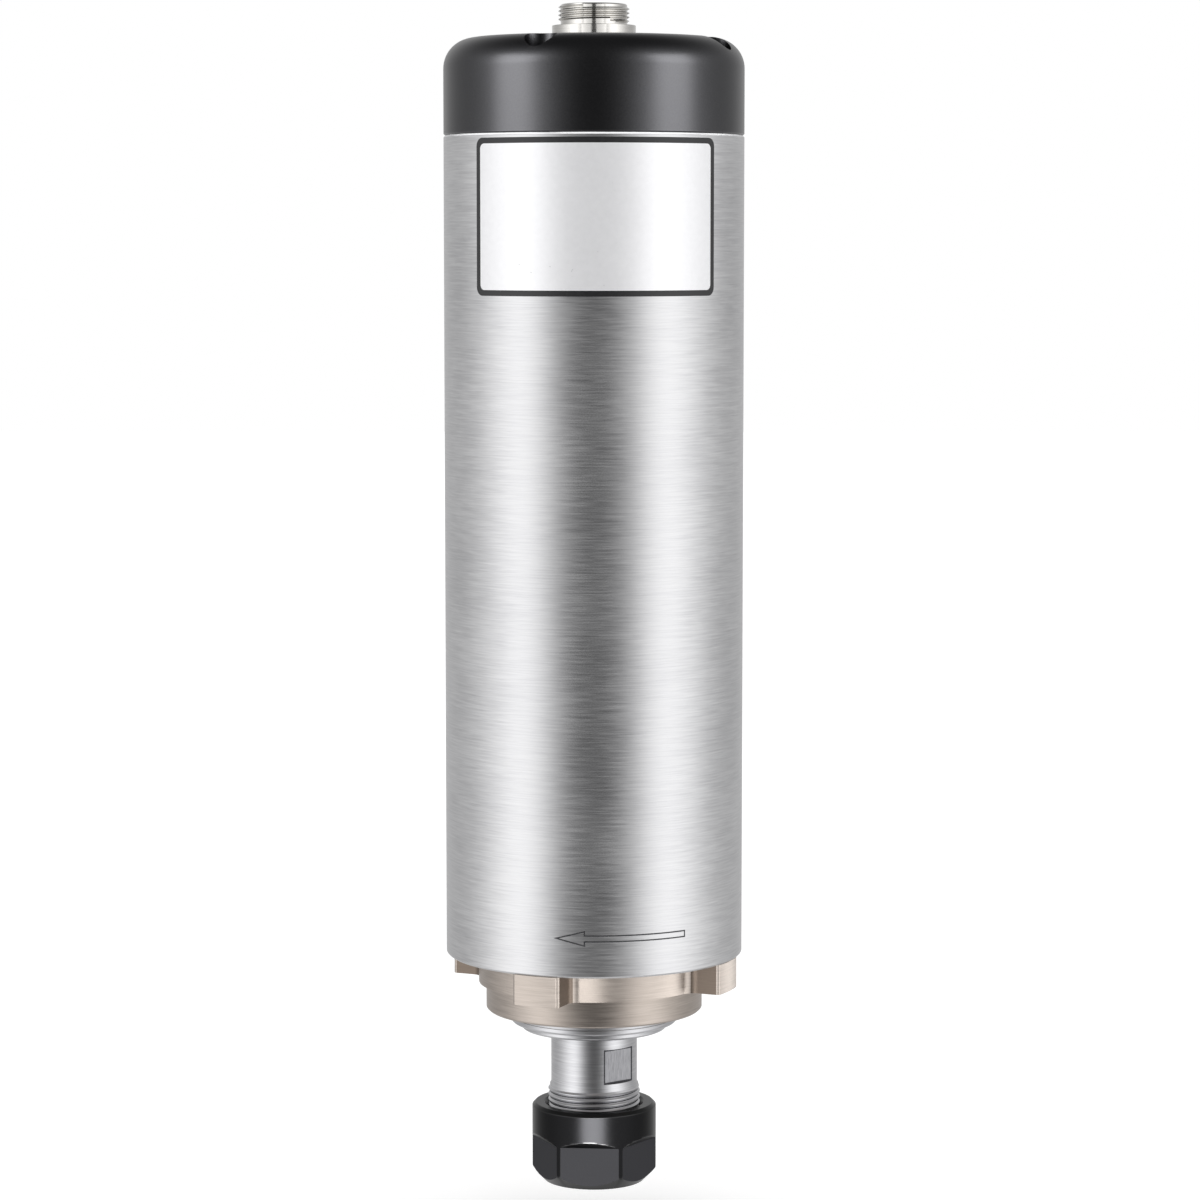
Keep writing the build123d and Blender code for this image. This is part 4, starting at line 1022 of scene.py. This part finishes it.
def soft_room():
    """A room with two bright sides for the metal to reflect.

    Its light depends on the angle from the camera's side, and fades to a dark roof and a pale
    floor. To the camera and to matt surfaces it is plain white.
    """
    # Degrees from the camera's side, and the brightness there
    room = (
        (0, 0.03), (20, 0.09), (34, 0.4), (46, 0.92), (62, 0.92), (78, 0.66), (100, 0.33),
        (130, 0.25), (180, 0.36),
    )
    side_strength, roof, ground, white = 2.05, 0.12, 0.8, 1.0
    world = bpy.data.worlds.new("soft_studio")
    bpy.context.scene.world = world
    world.use_nodes = True
    tree = world.node_tree
    tree.nodes.clear()
    way = add_node(tree, "TexCoord").outputs["Generated"]
    parts = add_node(tree, "SeparateXYZ", {"Vector": way})
    x, y, z = (parts.outputs[k] for k in range(3))
    x_squared = add_node(tree, "Math", {0: x, 1: x}, operation="MULTIPLY").outputs[0]
    y_squared = add_node(tree, "Math", {0: y, 1: y}, operation="MULTIPLY").outputs[0]
    across = add_node(tree, "Math", {0: x_squared, 1: y_squared}, operation="ADD").outputs[0]
    level = add_node(tree, "Math", {0: across, 1: 0.5}, operation="POWER").outputs[0]
    ahead = add_node(tree, "Math", {0: y, 1: level}, operation="DIVIDE").outputs[0]
    share = add_node(
        tree, "MapRange", {"Value": ahead, "From Min": -1.0, "From Max": 1.0}
    ).outputs["Result"]
    ramp = add_node(tree, "ValToRGB", {"Fac": share})
    stops = ramp.color_ramp
    stops.interpolation = "B_SPLINE"
    while len(stops.elements) > 1:
        stops.elements.remove(stops.elements[-1])
    for count, (angle, value) in enumerate(room):
        at = (1 - math.cos(math.radians(angle))) / 2
        stop = stops.elements[0] if count == 0 else stops.elements.new(at)
        stop.position = at
        stop.color = (value, value, value, 1)
    room_light = add_node(
        tree, "Math", {0: ramp.outputs["Color"], 1: side_strength}, operation="MULTIPLY"
    ).outputs[0]
    for side, light in ((1, roof), (-1, ground)):
        fade = add_node(
            tree, "MapRange", {"Value": z, "From Min": 0.3 * side, "From Max": 0.95 * side},
            interpolation_type="SMOOTHSTEP",
        ).outputs["Result"]
        room_light = add_node(
            tree, "Mix", {"Factor": fade, NUMBER_A: room_light, NUMBER_B: light}
        ).outputs["Result"]
    path = add_node(tree, "LightPath").outputs
    plain = add_node(
        tree, "Math", {0: path["Is Camera Ray"], 1: path["Is Diffuse Ray"]}, operation="MAXIMUM"
    ).outputs[0]
    strength = add_node(
        tree, "Mix", {"Factor": plain, NUMBER_A: room_light, NUMBER_B: white}
    ).outputs["Result"]
    background = add_node(tree, "Background", {"Color": (1, 1, 1, 1), "Strength": strength})
    add_node(tree, "OutputWorld", {"Surface": background.outputs["Background"]})


def pale_floor():
    """A floor a little under the nut's lowest place, white to the camera and unseen from below."""
    gap_below_the_nut, half_width = 11.5, 4.0
    mesh = bmesh.new()
    bmesh.ops.create_grid(mesh, x_segments=1, y_segments=1, size=half_width)
    moved(mesh, z=NUT_LOW - gap_below_the_nut)
    floor = as_object(mesh, "floor")
    material = bpy.data.materials.new("pale_floor")
    material.use_nodes = True
    tree = material.node_tree
    tree.nodes.clear()
    seen = add_node(tree, "LightPath").outputs["Is Camera Ray"]
    lift = add_node(tree, "Math", {0: seen, 1: 0.25}, operation="MULTIPLY").outputs[0]
    glow = add_node(tree, "Emission", {"Color": (1, 1, 1, 1), "Strength": lift})
    paint = add_node(tree, "BsdfDiffuse", {"Color": linear("#f2f2f2")})
    shade = add_node(tree, "AddShader", {0: glow.outputs[0], 1: paint.outputs[0]})
    clear = add_node(tree, "BsdfTransparent")
    below = add_node(tree, "NewGeometry").outputs["Backfacing"]
    sided = add_node(tree, "MixShader", {0: below, 1: shade.outputs[0], 2: clear.outputs[0]})
    add_node(tree, "OutputMaterial", {"Surface": sided.outputs[0]})
    floor.data.materials.append(material)
    floor.visible_glossy = False


def reflector(name, lit_piece, place, aim, width, height, watts):
    """A soft lamp that lights only one piece, as a photographer's small reflector does."""
    data = bpy.data.lights.new(name, "AREA")
    data.shape = "RECTANGLE"
    data.size = width
    data.size_y = height
    data.energy = watts
    lamp = bpy.data.objects.new(name, data)
    lamp.location = place
    lamp.rotation_euler = (Vector(aim) - Vector(place)).to_track_quat("-Z", "Y").to_euler()
    bpy.context.scene.collection.objects.link(lamp)
    lit = bpy.data.collections.new(name)
    lit.objects.link(lit_piece)
    lamp.light_linking.receiver_collection = lit
    lamp.light_linking.blocker_collection = lit
    lamp.visible_camera = False


def camera():
    """At the photograph's place: about a metre off, a little above the middle of the shell."""
    distance, to_the_right, height = 1.006, 0.0016, 0.1946
    tilt, field_of_view = 5.635, 18.12
    data = bpy.data.cameras.new("camera")
    data.sensor_width = 36
    data.angle = math.radians(field_of_view)
    view = bpy.data.objects.new("camera", data)
    view.location = (to_the_right, -distance, height)
    view.rotation_euler = (math.radians(90 - tilt), 0, 0)
    bpy.context.scene.collection.objects.link(view)
    bpy.context.scene.camera = view


bpy.context.scene.view_settings.view_transform = "Standard"
soft_room()
pale_floor()
camera()
finish_carried_nodes()
shell = brushed_shell()
cap = domed_cap()
connector = threaded_connector()
flange = eared_flange()
cover_ring()
dust_cap = labyrinth_cap()
nose_shaft()
nut = clamp_nut()
for side in (-1, 1):
    reflector(
        f"cap_reflector_{side}", cap, place=(0.75 * side, -0.4, 0.46), aim=(0, 0, 0.235),
        width=0.5, height=0.5, watts=3.4,
    )
    reflector(
        f"connector_reflector_{side}", connector, place=(0.3 * side, -0.8, 0.3), aim=(0, 0, 0.25),
        width=0.42, height=0.5, watts=0.6,
    )
reflector(
    "nut_reflector", nut, place=(-0.03, -0.8, -0.24), aim=(0, 0, -0.05),
    width=0.6, height=0.3, watts=25,
)
reflector(
    "flange_reflector", flange, place=(-0.12, -0.8, -0.16), aim=(0, 0, 0),
    width=0.4, height=0.3, watts=1.5,
)
for name, place in (
    ("flange_side_reflector", (0.8, -0.07, -0.1)), ("flange_back_reflector", (0.65, 0.5, -0.1))
):
    reflector(name, flange, place, aim=(0, 0, 0), width=0.3, height=0.3, watts=0.6)
for name, lit_piece, watts in (("top_reflector", shell, 6), ("dust_cap_reflector", dust_cap, 12)):
    reflector(
        name, lit_piece, place=(0, 0.2, 0.75), aim=(0, 0, 0.1), width=1.0, height=1.0, watts=watts
    )
spring_collet()
label_plate()
turning_arrow()
